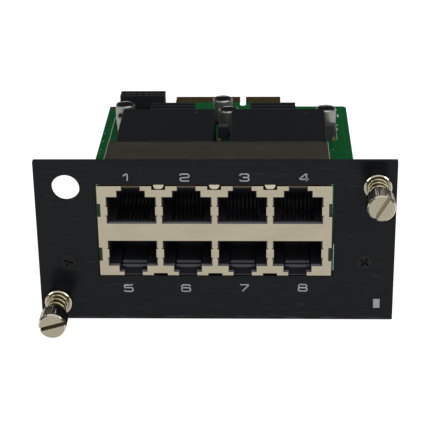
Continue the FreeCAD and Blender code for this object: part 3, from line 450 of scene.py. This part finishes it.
# %% Grow a mesh from a tree
def size_tree(name, sizes):
    """An empty geometry tree with one named input for each size."""
    tree = bpy.data.node_groups.new(name, "GeometryNodeTree")
    new_socket = tree.interface.new_socket
    new_socket("Geometry", in_out="INPUT", socket_type="NodeSocketGeometry")
    for title, value in sizes.items():
        kind = {int: "Int", float: "Float", tuple: "Vector"}[type(value)]
        socket = new_socket(title, in_out="INPUT", socket_type="NodeSocket" + kind)
        socket.default_value = value
    new_socket("Geometry", in_out="OUTPUT", socket_type="NodeSocketGeometry")
    return tree, tree.nodes.new("NodeGroupInput").outputs


def close_tree(tree, shape, material):
    """The tree's last nodes: real geometry, its finish, the output."""
    real = add(tree, "GeometryNodeRealizeInstances", {}, {0: shape})
    dressed = add(tree, "GeometryNodeSetMaterial", {"Material": material}, {0: real})
    add(tree, "NodeGroupOutput", {}, {0: dressed})


def grow(name, tree, sizes, outline=None):
    """A plain mesh piece, grown by a tree from its sizes and any outline."""
    piece = bpy.data.objects.new(name, outline or bpy.data.meshes.new(name))
    bpy.context.scene.collection.objects.link(piece)
    modifier = piece.modifiers.new(name, "NODES")
    modifier.node_group = tree
    for socket in tree.interface.items_tree:
        if socket.in_out == "INPUT" and socket.name in sizes:
            modifier[socket.identifier] = sizes[socket.name]
    graph = bpy.context.evaluated_depsgraph_get()
    mesh = bpy.data.meshes.new_from_object(
        piece.evaluated_get(graph), preserve_all_data_layers=True, depsgraph=graph)
    piece.modifiers.clear()
    piece.data = mesh
    mesh.name = name
    print(name, "has", len(mesh.polygons), "faces")
    return piece


# %% [markdown]
# ## Springs
# A spring under each thumbscrew's head pushes the screw back out when it is
# undone.  It is a compression spring of round wire with closed ends: the last
# turn at each end lies flatter than the ones between.  A line is cut into
# points, each point is wound round the axis, and the wire's circle is swept
# along them.  A sine takes rise away from both ends.

# %% Spring tree
WIRE_POINTS = 150
END_EASE = 0.2                          # the share of the rise that the ends lose
spring_tree, given = size_tree("coil_spring", {
    "Turns": 3.9, "Coil radius": 2.4 * MM, "Wire radius": 0.3 * MM, "Length": 7.8 * MM,
    "Place": (0.0, 0.0, 0.0)})
line = add(spring_tree, "GeometryNodeCurvePrimitiveLine", {"End": (0, 0, 1)})
line = add(spring_tree, "GeometryNodeResampleCurve", {"Count": WIRE_POINTS}, {0: line})
share = add(spring_tree, "GeometryNodeSplineParameter").outputs["Factor"]
turn = add(spring_tree, "ShaderNodeMath", {"operation": "MULTIPLY", 1: 2 * math.pi},
           {0: share})
wind = add(spring_tree, "ShaderNodeMath", {"operation": "MULTIPLY"},
           {0: turn, 1: given["Turns"]})
east = add(spring_tree, "ShaderNodeMath", {"operation": "COSINE"}, {0: wind})
north = add(spring_tree, "ShaderNodeMath", {"operation": "SINE"}, {0: wind})
around = add(spring_tree, "ShaderNodeCombineXYZ", {}, {0: east, 2: north})
around = add(spring_tree, "ShaderNodeVectorMath", {"operation": "SCALE"},
             {0: around, "Scale": given["Coil radius"]})
ease = add(spring_tree, "ShaderNodeMath", {"operation": "SINE"}, {0: turn})
rise = add(spring_tree, "ShaderNodeMath",
           {"operation": "MULTIPLY_ADD", 1: -END_EASE / (2 * math.pi)},
           {0: ease, 2: share})
reach = add(spring_tree, "ShaderNodeMath", {"operation": "MULTIPLY_ADD", 1: -2.0},
            {0: given["Wire radius"], 2: given["Length"]})
along = add(spring_tree, "ShaderNodeMath", {"operation": "MULTIPLY_ADD"},
            {0: rise, 1: reach, 2: given["Wire radius"]})
along = add(spring_tree, "ShaderNodeCombineXYZ", {}, {1: along})
centre = add(spring_tree, "ShaderNodeVectorMath", {"operation": "ADD"},
             {0: around, 1: along})
coil = add(spring_tree, "GeometryNodeSetPosition", {}, {0: line, "Position": centre})
wire = add(spring_tree, "GeometryNodeCurvePrimitiveCircle", {"Resolution": 12},
           {"Radius": given["Wire radius"]})
wound = add(spring_tree, "GeometryNodeCurveToMesh", {"Fill Caps": True},
            {0: coil, 1: wire})
wound = add(spring_tree, "GeometryNodeTransform", {},
            {0: wound, "Translation": given["Place"]})
wound = add(spring_tree, "GeometryNodeSetShadeSmooth", {}, {0: wound})
close_tree(spring_tree, wound, spring_steel)
print("spring tree has", len(spring_tree.nodes), "nodes")

# %% [markdown]
# ## Set the springs in place
# Each spring sits between the back of its thumbscrew's head and the seat in
# its ferrule.  When the screw is pushed home the real spring is squeezed toward
# that seat, to about half of its length; here each spring is made in one pose.

# %% Springs
FACE = -59.9 * MM                       # the panel's front face on the Y axis
SEAT = FACE - 0.8 * MM                  # where a spring stands in its ferrule
HEAD_BACK = FACE - 8.6 * MM             # the back of a thumbscrew's head
THUMBS = {                              # X, Z and the slot's angle in degrees
    "left": (-40.8 * MM, 5.4 * MM, 16.0), "right": (40.5 * MM, 37.8 * MM, 60.0)}
for side, (x, z, slot_angle) in THUMBS.items():
    spring = grow("coil_spring_" + side, spring_tree,
                  {"Length": SEAT - HEAD_BACK, "Place": (x, HEAD_BACK, z)})
    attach(spring, "card")
    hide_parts("spring_" + side)
    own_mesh(spring)

# %% [markdown]
# ## Thumbscrews
# A captive thumbscrew is turned from brass: a knurled head to grip, a slot for
# a coin or driver, a long shank, a groove for the ring that keeps it in the
# panel, and a threaded tip.  The tree builds it upright, from the face of the
# head, and lays it along Y at the end.  A straight knurl repeats round the
# head, so a cosine of the angle presses its valleys in.

# %% Thumbscrew head
thumb_tree, given = size_tree("captive_thumbscrew", {
    "Head radius": 3.5 * MM, "Head length": 5.9 * MM, "Teeth": 44,
    "Tooth depth": 0.16 * MM, "Edge": 0.38 * MM, "Shoulder": 0.08 * MM,
    "Slot angle": 0.0, "Place": (0.0, 0.0, 0.0)})
columns = add(thumb_tree, "ShaderNodeMath", {"operation": "MULTIPLY", 1: 4.0},
              {0: given["Teeth"]})
head = add(thumb_tree, "GeometryNodeMeshCylinder",
           {"fill_type": "TRIANGLE_FAN", "Side Segments": 14, "Fill Segments": 6},
           {"Vertices": columns, "Radius": given["Head radius"],
            "Depth": given["Head length"]})
spot = add(thumb_tree, "GeometryNodeInputPosition")
xyz = add(thumb_tree, "ShaderNodeSeparateXYZ", {}, {0: spot}).outputs
angle = add(thumb_tree, "ShaderNodeMath", {"operation": "ARCTAN2"},
            {0: xyz["Y"], 1: xyz["X"]})
angle = add(thumb_tree, "ShaderNodeMath", {"operation": "MULTIPLY"},
            {0: angle, 1: given["Teeth"]})
wave = add(thumb_tree, "ShaderNodeMath", {"operation": "COSINE"}, {0: angle})
wave = add(thumb_tree, "ShaderNodeMapRange", {1: -1.0, 2: 1.0, 3: 1.0, 4: 0.0},
           {0: wave})
bite = add(thumb_tree, "ShaderNodeMath", {"operation": "MULTIPLY"},
           {0: wave, 1: given["Tooth depth"]})
print("a cosine presses in the knurl's valleys")

# %% [markdown]
# ## Bevels on the head
# The knurl runs out before both ends.  The first ring of points at an end is
# drawn in by the edge's width, and the ring after it, which has no teeth, by a
# narrow shoulder: between the two lies a smooth bevel.  Only points on the rim
# move, so the flat ends stay flat.

# %% Bevels and knurl
END_RING, SHOULDER_RING, RIM = 0.1 * MM, 0.5 * MM, 0.02 * MM
middle = add(thumb_tree, "ShaderNodeMath", {"operation": "ABSOLUTE"}, {0: xyz["Z"]})
from_end = add(thumb_tree, "ShaderNodeMath", {"operation": "MULTIPLY", 1: 0.5},
               {0: given["Head length"]})
end_gap = add(thumb_tree, "ShaderNodeMath", {"operation": "SUBTRACT"},
              {0: from_end, 1: middle})
at_end = add(thumb_tree, "ShaderNodeMath", {"operation": "LESS_THAN", 1: END_RING},
             {0: end_gap})
near_end = add(thumb_tree, "ShaderNodeMath",
               {"operation": "LESS_THAN", 1: SHOULDER_RING}, {0: end_gap})
pull = add(thumb_tree, "ShaderNodeMix", {"data_type": "FLOAT"},
           {0: near_end, 2: bite, 3: given["Shoulder"]})
pull = add(thumb_tree, "ShaderNodeMix", {"data_type": "FLOAT"},
           {0: at_end, 2: pull, 3: given["Edge"]})
radius = add(thumb_tree, "ShaderNodeVectorMath", {"operation": "LENGTH"},
             {0: add(thumb_tree, "ShaderNodeCombineXYZ", {}, {0: xyz["X"], 1: xyz["Y"]})})
limit = add(thumb_tree, "ShaderNodeMath", {"operation": "SUBTRACT", 1: RIM},
            {0: given["Head radius"]})
rim = add(thumb_tree, "ShaderNodeMath", {"operation": "GREATER_THAN"},
          {0: radius.outputs["Value"], 1: limit})
share = add(thumb_tree, "ShaderNodeMath", {"operation": "DIVIDE"},
            {0: pull, 1: given["Head radius"]})
share = add(thumb_tree, "ShaderNodeMath", {"operation": "SUBTRACT", 0: 1.0}, {1: share})
shrink = add(thumb_tree, "ShaderNodeCombineXYZ", {2: 1.0}, {0: share, 1: share})
pressed = add(thumb_tree, "ShaderNodeVectorMath", {"operation": "MULTIPLY"},
              {0: spot, 1: shrink})
head = add(thumb_tree, "GeometryNodeSetPosition", {},
           {0: head, "Selection": rim, "Position": pressed})
print("thumbscrew head tree so far:", len(thumb_tree.nodes), "nodes")

# %% [markdown]
# ## Slot, shank and thread
# The slot is milled after the head is turned, so a bar is cut out of the head
# with a Mesh Boolean.  The shank is a row of turned sections: plain, grooved
# for its ring, a collar, the thread's core and a pointed end.  The M3 thread
# has a pitch of 0.5 mm: a small diamond swept along a spiral on the core gives
# its crest.

# %% Thumbscrew slot and shank
SLOT_WIDTH, SLOT_DEPTH, BAR_LENGTH = 1.05 * MM, 1.6 * MM, 9 * MM
SECTIONS = [                            # radius at start and end, start and end
    (1.5, 1.5, 5.85, 15.97), (1.1, 1.1, 15.9, 16.75), (1.5, 1.5, 16.67, 16.95),
    (1.28, 1.28, 16.9, 20.4), (1.28, 0.9, 20.35, 20.9)]
PITCH, TURNS, THREAD_START = 0.5 * MM, 6.6, 17.05 * MM
CREST_CENTRE, CREST = 1.36 * MM, 0.138 * MM
top_of_head = add(thumb_tree, "ShaderNodeMath", {"operation": "MULTIPLY", 1: 0.5},
                  {0: given["Head length"]})
lift = add(thumb_tree, "ShaderNodeCombineXYZ", {}, {2: top_of_head})
head = add(thumb_tree, "GeometryNodeTransform", {}, {0: head, "Translation": lift})
bar = add(thumb_tree, "GeometryNodeMeshCube",
          {"Size": (BAR_LENGTH, SLOT_WIDTH, 2 * SLOT_DEPTH)})
tilt = add(thumb_tree, "ShaderNodeCombineXYZ", {}, {2: given["Slot angle"]})
bar = add(thumb_tree, "GeometryNodeTransform", {}, {0: bar, "Rotation": tilt})
head = add(thumb_tree, "GeometryNodeMeshBoolean",
           {"operation": "DIFFERENCE", "solver": "EXACT"}, {0: head, 1: bar})
joined = add(thumb_tree, "GeometryNodeJoinGeometry")
thumb_tree.links.new(head.outputs[0], joined.inputs[0])
for start_r, end_r, start, end in SECTIONS:
    section = add(thumb_tree, "GeometryNodeMeshCone",
                  {"Vertices": 40, "Radius Bottom": start_r * MM,
                   "Radius Top": end_r * MM, "Depth": (end - start) * MM})
    section = add(thumb_tree, "GeometryNodeTransform",
                  {"Translation": (0, 0, start * MM)}, {0: section})
    section = add(thumb_tree, "GeometryNodeSetShadeSmooth", {"Shade Smooth": False},
                  {0: section})
    thumb_tree.links.new(section.outputs[0], joined.inputs[0])
spiral = add(thumb_tree, "GeometryNodeCurveSpiral",
             {"Resolution": 24, "Rotations": TURNS, "Start Radius": CREST_CENTRE,
              "End Radius": CREST_CENTRE, "Height": TURNS * PITCH})
crest = add(thumb_tree, "GeometryNodeCurvePrimitiveCircle",
            {"Resolution": 4, "Radius": CREST})
thread = add(thumb_tree, "GeometryNodeCurveToMesh", {"Fill Caps": True},
             {0: spiral, 1: crest})
thread = add(thumb_tree, "GeometryNodeTransform", {"Translation": (0, 0, THREAD_START)},
             {0: thread})
thumb_tree.links.new(thread.outputs[0], joined.inputs[0])
print("the thread rises", round(TURNS * PITCH / MM, 1), "mm")

# %% [markdown]
# ## Lathe rings and the last turn
# Each point stores its distance from the axis, in millimetres, for the lathe
# rings in the finish.  Then the screw is laid down along Y and put in place.

# %% Thumbscrews
HEAD_FACE = FACE - 14.5 * MM            # where a thumbscrew's outer face stands
spot = add(thumb_tree, "GeometryNodeInputPosition")
level = add(thumb_tree, "ShaderNodeVectorMath",
            {"operation": "MULTIPLY", 1: (1 / MM, 1 / MM, 0)}, {0: spot})
from_axis = add(thumb_tree, "ShaderNodeVectorMath", {"operation": "LENGTH"}, {0: level})
marked = add(thumb_tree, "GeometryNodeStoreNamedAttribute",
             {"data_type": "FLOAT", "domain": "POINT", "Name": "lathe"},
             {0: joined, "Value": from_axis.outputs["Value"]})
laid = add(thumb_tree, "GeometryNodeTransform", {"Rotation": (-math.pi / 2, 0, 0)},
           {0: marked, "Translation": given["Place"]})
close_tree(thumb_tree, laid, thumb_nickel)
for side, (x, z, slot_angle) in THUMBS.items():
    screw = grow("thumbscrew_turned_" + side, thumb_tree,
                 {"Slot angle": -math.radians(slot_angle), "Place": (x, HEAD_FACE, z)})
    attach(screw, "screw_" + side)
    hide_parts("thumbscrew_" + side)

# %% [markdown]
# ## Printed port numbers
# The ports are numbered in a wide, square-shouldered face, screen printed in
# light grey.  Each number is drawn as a pen would: a few straight strokes,
# their corners rounded off, and a flat nib swept along them.  The strokes are
# written in a square from -1 to 1, and stretched to the real letter height.
# Where a number has two lines, the second lies 0.01 mm off the first, so that
# no two faces share a place.

# %% Strokes of the numbers
LAYER = 0.01 * MM
STROKES = {
    "1": [[(-0.62, 0.42), (0.1, 1), (0.36, 1), (0.36, -1)]],
    "2": [[(-1, 0.6), (-1, 1), (1, 1), (1, 0.02), (-1, -0.1), (-1, -1), (1, -1)]],
    "3": [[(-1, 0.6), (-1, 1), (0.97, 1), (0.97, 0.02), (-0.35, 0.02)],
          [(-0.35, 0), (1, 0), (1, -1), (-1, -1), (-1, -0.6)]],
    "4": [[(0.5, -1), (0.5, 1), (0.25, 1), (-1, -0.3), (-1, -0.52), (1, -0.52)]],
    "5": [[(0.97, 1), (-0.85, 1), (-0.95, 1), (-0.95, 0.88), (-0.95, 0.27),
           (-0.95, 0.15), (-0.85, 0.15), (1, 0.15), (1, -1), (-1, -1), (-1, -0.55)]],
    "6": [[(1, 0.6), (1, 1), (-1, 1), (-1, -1), (1, -1), (1, 0.1), (-0.95, 0.1)]],
    "7": [[(-1, 1), (1, 1), (0.9, 0.75), (-0.45, -1)]],
    "8": [[(0, 1), (0.93, 1), (0.93, 0.05), (-0.93, 0.05), (-0.93, 1), (0, 1)],
          [(0, -1), (1, -1), (1, 0.0), (-1, 0.0), (-1, -1), (0, -1)]]}
HALF_WIDTH, HALF_HEIGHT = 1.1 * MM, 0.93 * MM
NUMBER_PLACES = {                       # X and Z of each middle in mm
    "1": (-22.2, 39.85), "2": (-7.5, 39.85), "3": (7.4, 39.85), "4": (22.3, 39.85),
    "5": (-22.6, 8.85), "6": (-7.75, 8.9), "7": (7.25, 9.0), "8": (22.2, 9.1)}
ink = worn_finish("screen_print_ink_light_grey", "#a2a3a8", 0.0, 0.55,
                  0.4, ("#93959b", "#a9abaf"), (0.45, 0.65), 0.002,
                  Specular_IOR_Level=0.2)
strokes = bmesh.new()
for number, lines in STROKES.items():
    x, z = NUMBER_PLACES[number]
    for layer, points in enumerate(lines):
        corners = [strokes.verts.new((x * MM + u * HALF_WIDTH, z * MM + v * HALF_HEIGHT,
                                      layer * LAYER)) for u, v in points]
        for start, end in zip(corners, corners[1:]):
            strokes.edges.new((start, end))
stroke_mesh = bpy.data.meshes.new("number_strokes")
strokes.to_mesh(stroke_mesh)
print("stroke corners:", len(strokes.verts))
strokes.free()

# %% [markdown]
# ## Ink them
# The tree rounds the corners, sweeps a flat nib along the strokes and stands
# the print up on the panel's face.  The nib is 0.04 mm thick and lies half in
# the face, so the ink stands 0.02 mm proud.

# %% Port numbers
number_tree, given = size_tree("printed_strokes", {
    "Nib": 0.36 * MM, "Ink": 0.04 * MM, "Corner": 0.42 * MM, "Face": FACE})
pen = add(number_tree, "GeometryNodeMeshToCurve", {}, {0: given["Geometry"]})
pen = add(number_tree, "GeometryNodeSetCurveNormal", {"mode": "Z_UP"}, {0: pen})
pen = add(number_tree, "GeometryNodeFilletCurve",
          {"mode": "POLY", "Count": 5, "Limit Radius": True},
          {0: pen, "Radius": given["Corner"]})
nib = add(number_tree, "GeometryNodeCurvePrimitiveQuadrilateral", {},
          {"Width": given["Nib"], "Height": given["Ink"]})
inked = add(number_tree, "GeometryNodeCurveToMesh", {"Fill Caps": True},
            {0: pen, 1: nib})
stand = add(number_tree, "ShaderNodeCombineXYZ", {}, {1: given["Face"]})
inked = add(number_tree, "GeometryNodeTransform", {"Rotation": (math.pi / 2, 0, 0)},
            {0: inked, "Translation": stand})
close_tree(number_tree, inked, ink)
numbers = grow("port_numbers", number_tree, {}, outline=stroke_mesh)
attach(numbers, "card")
print("numbers reach", [round(c / MM, 2) for c in numbers.bound_box[0]])

# %% [markdown]
# ## Flat marks
# Other marks are plain patches, each a thin plate written as its low and high
# corners: the grey block at the panel's lower right, and a spot beside the
# window where the anodising is rubbed off.  A plate is sunk a little way into
# what carries it, so that no gap shows under it.

# %% Marks on the panel
def plates(name, boxes, material):
    """One mesh of thin plates, each from its low and high corner in mm."""
    shape = bmesh.new()
    for low, high in boxes:
        for corner in bmesh.ops.create_cube(shape, size=1.0)["verts"]:
            corner.co = [(a + b) / 2 * MM + c * (b - a) * MM
                         for a, b, c in zip(low, high, corner.co)]
    mesh = bpy.data.meshes.new(name)
    shape.to_mesh(mesh)
    shape.free()
    mesh.materials.append(material)
    piece = bpy.data.objects.new(name, mesh)
    bpy.context.scene.collection.objects.link(piece)
    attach(piece, "card")
    print(name, "has", len(boxes), "plates")


FRONT_MM = FACE / MM
INK_MM, THIN_MM, BLOCK_SUNK_MM, RUB_SUNK_MM = 0.03, 0.02, 0.05, 0.04
plates("panel_block_print", [((40.4, FRONT_MM - INK_MM, 3.4),
                              (42.05, FRONT_MM + BLOCK_SUNK_MM, 5.95))], ink)
bare_edge = worn_finish("aluminium_bared_by_rubbing", "#8d979a", 1.0, 0.4,
                        0.6, ("#3c4246", "#b4c0c3"), (0.3, 0.5), 0.001)
plates("window_edge_rub", [((29.8, FRONT_MM - THIN_MM, 14.2),
                            (29.98, FRONT_MM + RUB_SUNK_MM, 21.6))], bare_edge)

# %% [markdown]
# ## Marks on the board
# White legend ink outlines parts and marks test points on the board, and a
# laser leaves a small grey mark beside pin one on each module.

# %% Legend and pin-one marks
BOARD_TOP_MM, MODULE_HEIGHT_MM = 12.91, 11.4
PIN_ONE_HALF, TEST_POINT_HALF = 0.3, 0.22
PIN_ONES = [(-8.9, 28.0), (24.9, 27.1)]                     # X and Y in mm
TEST_POINTS = [(-38.7, 39.5), (-38.6, 32.5), (-38.5, 25.6), (-38.5, 22.2)]
LEGEND = [                                      # X from and to, Y from and to
    (-36.85, -36.6, 20.5, 54.5), (-36.85, -34.5, 54.3, 54.55),
    (29.7, 29.9, -56.6, -43.2), (29.6, 30.1, -57.0, -56.3),
    (35.0, 35.2, 34.0, 62.0), (35.2, 36.3, 60.4, 60.9), (35.9, 36.5, 54.0, 56.6),
    (35.3, 35.9, 46.4, 47.2), (35.2, 35.7, 42.0, 44.5), (33.2, 34.4, 34.3, 35.0),
    (-2.6, 1.4, 31.6, 31.9), (33.3, 33.7, 25.3, 25.7)]
legend_ink = worn_finish("legend_ink_white", "#94a592", 0.0, 0.6,
                         0.3, ("#64806a", "#a9b5a5"), (0.5, 0.7), 0.002,
                         Specular_IOR_Level=0.2)
mark_ink = worn_finish("laser_mark_grey", "#3c3d3e", 0.0, 0.7,
                       0.2, ("#333435", "#454647"), (0.6, 0.8), 0.002,
                       Specular_IOR_Level=0.1)


def patches(name, areas, top_mm, material):
    """Plates on a level top, each from its X and Y limits in mm."""
    plates(name, [((x0, y0, top_mm - THIN_MM), (x1, y1, top_mm + INK_MM))
                  for x0, x1, y0, y1 in areas], material)


def squares(middles, half):
    """The X and Y limits of a square about each middle."""
    return [(x - half, x + half, y - half, y + half) for x, y in middles]


patches("pin_one_marks", squares(PIN_ONES, PIN_ONE_HALF),
        BOARD_TOP_MM + MODULE_HEIGHT_MM, mark_ink)
patches("board_legend_print", LEGEND + squares(TEST_POINTS, TEST_POINT_HALF),
        BOARD_TOP_MM, legend_ink)

# %% [markdown]
# ## Solder and vias
# Each lead of a module ends in a small bright fillet of solder, and pairs of
# plated holes carry the tracks from the jack to the modules.  Both are rows of
# flattened beads, so one tree makes them: a grid of points, a bead on each,
# and a small shift from a fixed seed, because no two joints are quite alike.

# %% Solder fillets and vias
SEEDS = (3, 8)                                  # one for X, one for Y
MODULE_MIDDLE_X = {"left": -17.2 * MM, "right": 16.4 * MM}
MODULE_MIDDLE_Y, LAND_Z = 16.3 * MM, BOARD_TOP_MM * MM
VIA_MIDDLE = (-0.4 * MM, -14 * MM, LAND_Z)
bead_tree, given = size_tree("solder_beads", {
    "Count": 14, "Rows": 2, "Width": 19.5 * MM, "Depth": 33.3 * MM,
    "Shift": 0.05 * MM, "Bead": (0.8 * MM, 0.8 * MM, 0.36 * MM),
    "Place": (0.0, 0.0, 0.0)})
grid = add(bead_tree, "GeometryNodeMeshGrid", {},
           {"Size X": given["Width"], "Size Y": given["Depth"],
            "Vertices X": given["Count"], "Vertices Y": given["Rows"]})
least = add(bead_tree, "ShaderNodeMath", {"operation": "MULTIPLY", 1: -1.0},
            {0: given["Shift"]})
sway = [add(bead_tree, "FunctionNodeRandomValue", {"data_type": "FLOAT", "Seed": seed},
            {2: least, 3: given["Shift"]}).outputs[1] for seed in SEEDS]
shift = add(bead_tree, "ShaderNodeCombineXYZ", {}, {0: sway[0], 1: sway[1]})
grid = add(bead_tree, "GeometryNodeSetPosition", {}, {0: grid, "Offset": shift})
bead = add(bead_tree, "GeometryNodeMeshUVSphere",
           {"Segments": 10, "Rings": 6, "Radius": 0.5})
rows = add(bead_tree, "GeometryNodeInstanceOnPoints", {},
           {0: grid, "Instance": bead, "Scale": given["Bead"]})
rows = add(bead_tree, "GeometryNodeTransform", {},
           {0: rows, "Translation": given["Place"]})
close_tree(bead_tree, rows, tin_plate)

for side, middle_x in MODULE_MIDDLE_X.items():
    beads = grow("solder_fillets_" + side, bead_tree,
                 {"Place": (middle_x, MODULE_MIDDLE_Y, LAND_Z)})
    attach(beads, "card")
vias = grow("plated_vias", bead_tree,
            {"Count": 20, "Rows": 4, "Width": 52 * MM, "Depth": 15 * MM,
             "Shift": 0.7 * MM, "Bead": (0.7 * MM, 0.7 * MM, 0.05 * MM),
             "Place": VIA_MIDDLE})
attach(vias, "card")

# %% [markdown]
# ## Floor
# The card stands on a white floor that fills the view.  Light Path's camera,
# glossy and transmission rays see it glow nearly white, and it still takes a
# share of real light, so it keeps the card's soft shadow.

# %% Floor
FLOOR_GLOW, FLOOR_PAINT = 0.86, (0.35, 0.35, 0.35, 1)
FLOOR_SIZE, FLOOR_DOWN = 6.0, 0.3 * MM
bpy.ops.mesh.primitive_plane_add(size=FLOOR_SIZE, location=(0, 0, -FLOOR_DOWN))
floor = bpy.context.object
floor.name = "studio_floor"
floor_white = bpy.data.materials.new("studio_floor_white")
floor_white.use_nodes = True
tree = floor_white.node_tree
rays = add(tree, "ShaderNodeLightPath")
seen = add(tree, "ShaderNodeMath", {"operation": "MAXIMUM"},
           {0: rays.outputs["Is Camera Ray"], 1: rays.outputs["Is Glossy Ray"]})
seen = add(tree, "ShaderNodeMath", {"operation": "MAXIMUM"},
           {0: seen, 1: rays.outputs["Is Transmission Ray"]})
strength = add(tree, "ShaderNodeMath", {"operation": "MULTIPLY", 1: FLOOR_GLOW},
               {0: seen})
glow = add(tree, "ShaderNodeEmission", {"Color": (1, 1, 1, 1)}, {"Strength": strength})
shade = tree.nodes["Principled BSDF"]
shade.inputs["Roughness"].default_value = 0.9
shade.inputs["Specular IOR Level"].default_value = 0.0
shade.inputs["Base Color"].default_value = FLOOR_PAINT
both = add(tree, "ShaderNodeAddShader", {}, {0: shade, 1: glow})
tree.links.new(both.outputs[0], tree.nodes["Material Output"].inputs[0])
floor.data.materials.append(floor_white)
print("floor is in place")

# %% [markdown]
# ## Room
# Round the floor is a dim room.  Its walls give a weak light from all sides,
# and mirror darker still, so flat metal tops look dark.  Near the horizon the
# room mirrors white, as the floor does, so upright faces look pale.  The camera
# itself sees only white.

# %% Room
WALL_LIGHT, WALL_MIRROR = (0.2, 0.2, 0.2, 1), (0.045, 0.045, 0.047, 1)
PALE_TO, DARK_FROM = 0.05, 0.13                 # heights above the horizon
room = bpy.context.scene.world or bpy.data.worlds.new("room")
bpy.context.scene.world = room
room.use_nodes = True
tree = room.node_tree
tree.nodes.clear()
rays = add(tree, "ShaderNodeLightPath")
height = add(tree, "ShaderNodeSeparateXYZ", {},
             {0: add(tree, "ShaderNodeTexCoord").outputs["Generated"]})
low = add(tree, "ShaderNodeMapRange", {1: PALE_TO, 2: DARK_FROM, 3: 1.0, 4: 0.0},
          {0: height.outputs["Z"]})
mirrored = add(tree, "ShaderNodeMath", {"operation": "MAXIMUM"},
               {0: rays.outputs["Is Glossy Ray"], 1: rays.outputs["Is Transmission Ray"]})
horizon = add(tree, "ShaderNodeMath", {"operation": "MULTIPLY"}, {0: mirrored, 1: low})
pale = add(tree, "ShaderNodeMath", {"operation": "MAXIMUM"},
           {0: rays.outputs["Is Camera Ray"], 1: horizon})
walls = add(tree, "ShaderNodeMix",
            {"data_type": "RGBA", 6: WALL_LIGHT, 7: WALL_MIRROR}, {0: mirrored})
colour = add(tree, "ShaderNodeMix", {"data_type": "RGBA", 7: (1, 1, 1, 1)},
             {0: pale, 6: walls.outputs[2]})
sky = add(tree, "ShaderNodeBackground", {"Strength": 1.0}, {"Color": colour.outputs[2]})
add(tree, "ShaderNodeOutputWorld", {}, {0: sky})
print("room is in place")

# %% [markdown]
# ## Lamps
# Two broad soft lamps do most of the work, one above and one in front.  A lamp
# at each side reaches into the ports, one behind lights the board, and two weak
# low ones at the back put thin glints on edges and knurls.  Broad lamps mirror
# as soft patches, so bright plating doesn't burn out.

# %% Lamps
def lamp(name, place, aim, size, power):
    """A soft lamp of a width and a length at place, facing aim."""
    light = bpy.data.lights.new(name, "AREA")
    light.shape = "RECTANGLE"
    light.size, light.size_y = size
    light.energy = power
    holder = bpy.data.objects.new(name, light)
    holder.location = place
    toward = Vector(aim) - Vector(place)
    holder.rotation_euler = toward.to_track_quat("-Z", "Y").to_euler()
    bpy.context.scene.collection.objects.link(holder)


CARD, JACK = (0, 0, 0.02), (0, -0.05, 0.02)
lamp("lamp_key", (0.03, -0.38, 0.74), (0.0, -0.02, 0.02), (1.3, 1.0), 4.2)
lamp("lamp_front", (0.2, -0.95, 0.62), CARD, (1.3, 0.8), 4.6)
lamp("lamp_left", (-0.72, -0.36, 0.5), JACK, (0.3, 0.4), 1.5)
lamp("lamp_right", (0.72, -0.36, 0.5), JACK, (0.3, 0.4), 1.9)
lamp("lamp_rear", (0.1, 0.4, 0.95), CARD, (0.4, 0.4), 1.4)
lamp("lamp_rear_left", (-0.4, 0.85, 0.36), CARD, (0.22, 0.3), 0.3)
lamp("lamp_rear_right", (0.34, 0.85, 0.36), CARD, (0.22, 0.3), 0.2)
print("lamps:", len(bpy.data.lights))

# %% [markdown]
# ## Camera
# A long lens looks down on the card from the front, a little right of its
# middle, turned slightly left and with a slight roll.

# %% Camera
DOWN, LEFT, ROLL = 0.4272, 0.0385, 0.0148       # radians
STAND = (0.012769, -0.392353, 0.181088)         # metres
LENS_MM, SENSOR_MM = 121.64, 36.0
look = Vector((-math.sin(LEFT) * math.cos(DOWN), math.cos(LEFT) * math.cos(DOWN),
               -math.sin(DOWN)))
across = Vector((math.cos(LEFT), math.sin(LEFT), 0))
below = look.cross(across)
right = across * math.cos(ROLL) + below * math.sin(ROLL)
under = below * math.cos(ROLL) - across * math.sin(ROLL)
lens = bpy.data.cameras.new("camera")
lens.lens, lens.sensor_width = LENS_MM, SENSOR_MM
lens.clip_start, lens.clip_end = 0.01, 20
camera = bpy.data.objects.new("camera", lens)
turn = Matrix((right, -under, -look)).transposed().to_4x4()
camera.matrix_world = Matrix.Translation(STAND) @ turn
bpy.context.scene.collection.objects.link(camera)
bpy.context.scene.camera = camera
bpy.context.scene.view_settings.view_transform = "Standard"
print("camera is", round(camera.location.length * 1000), "mm from the card's middle")
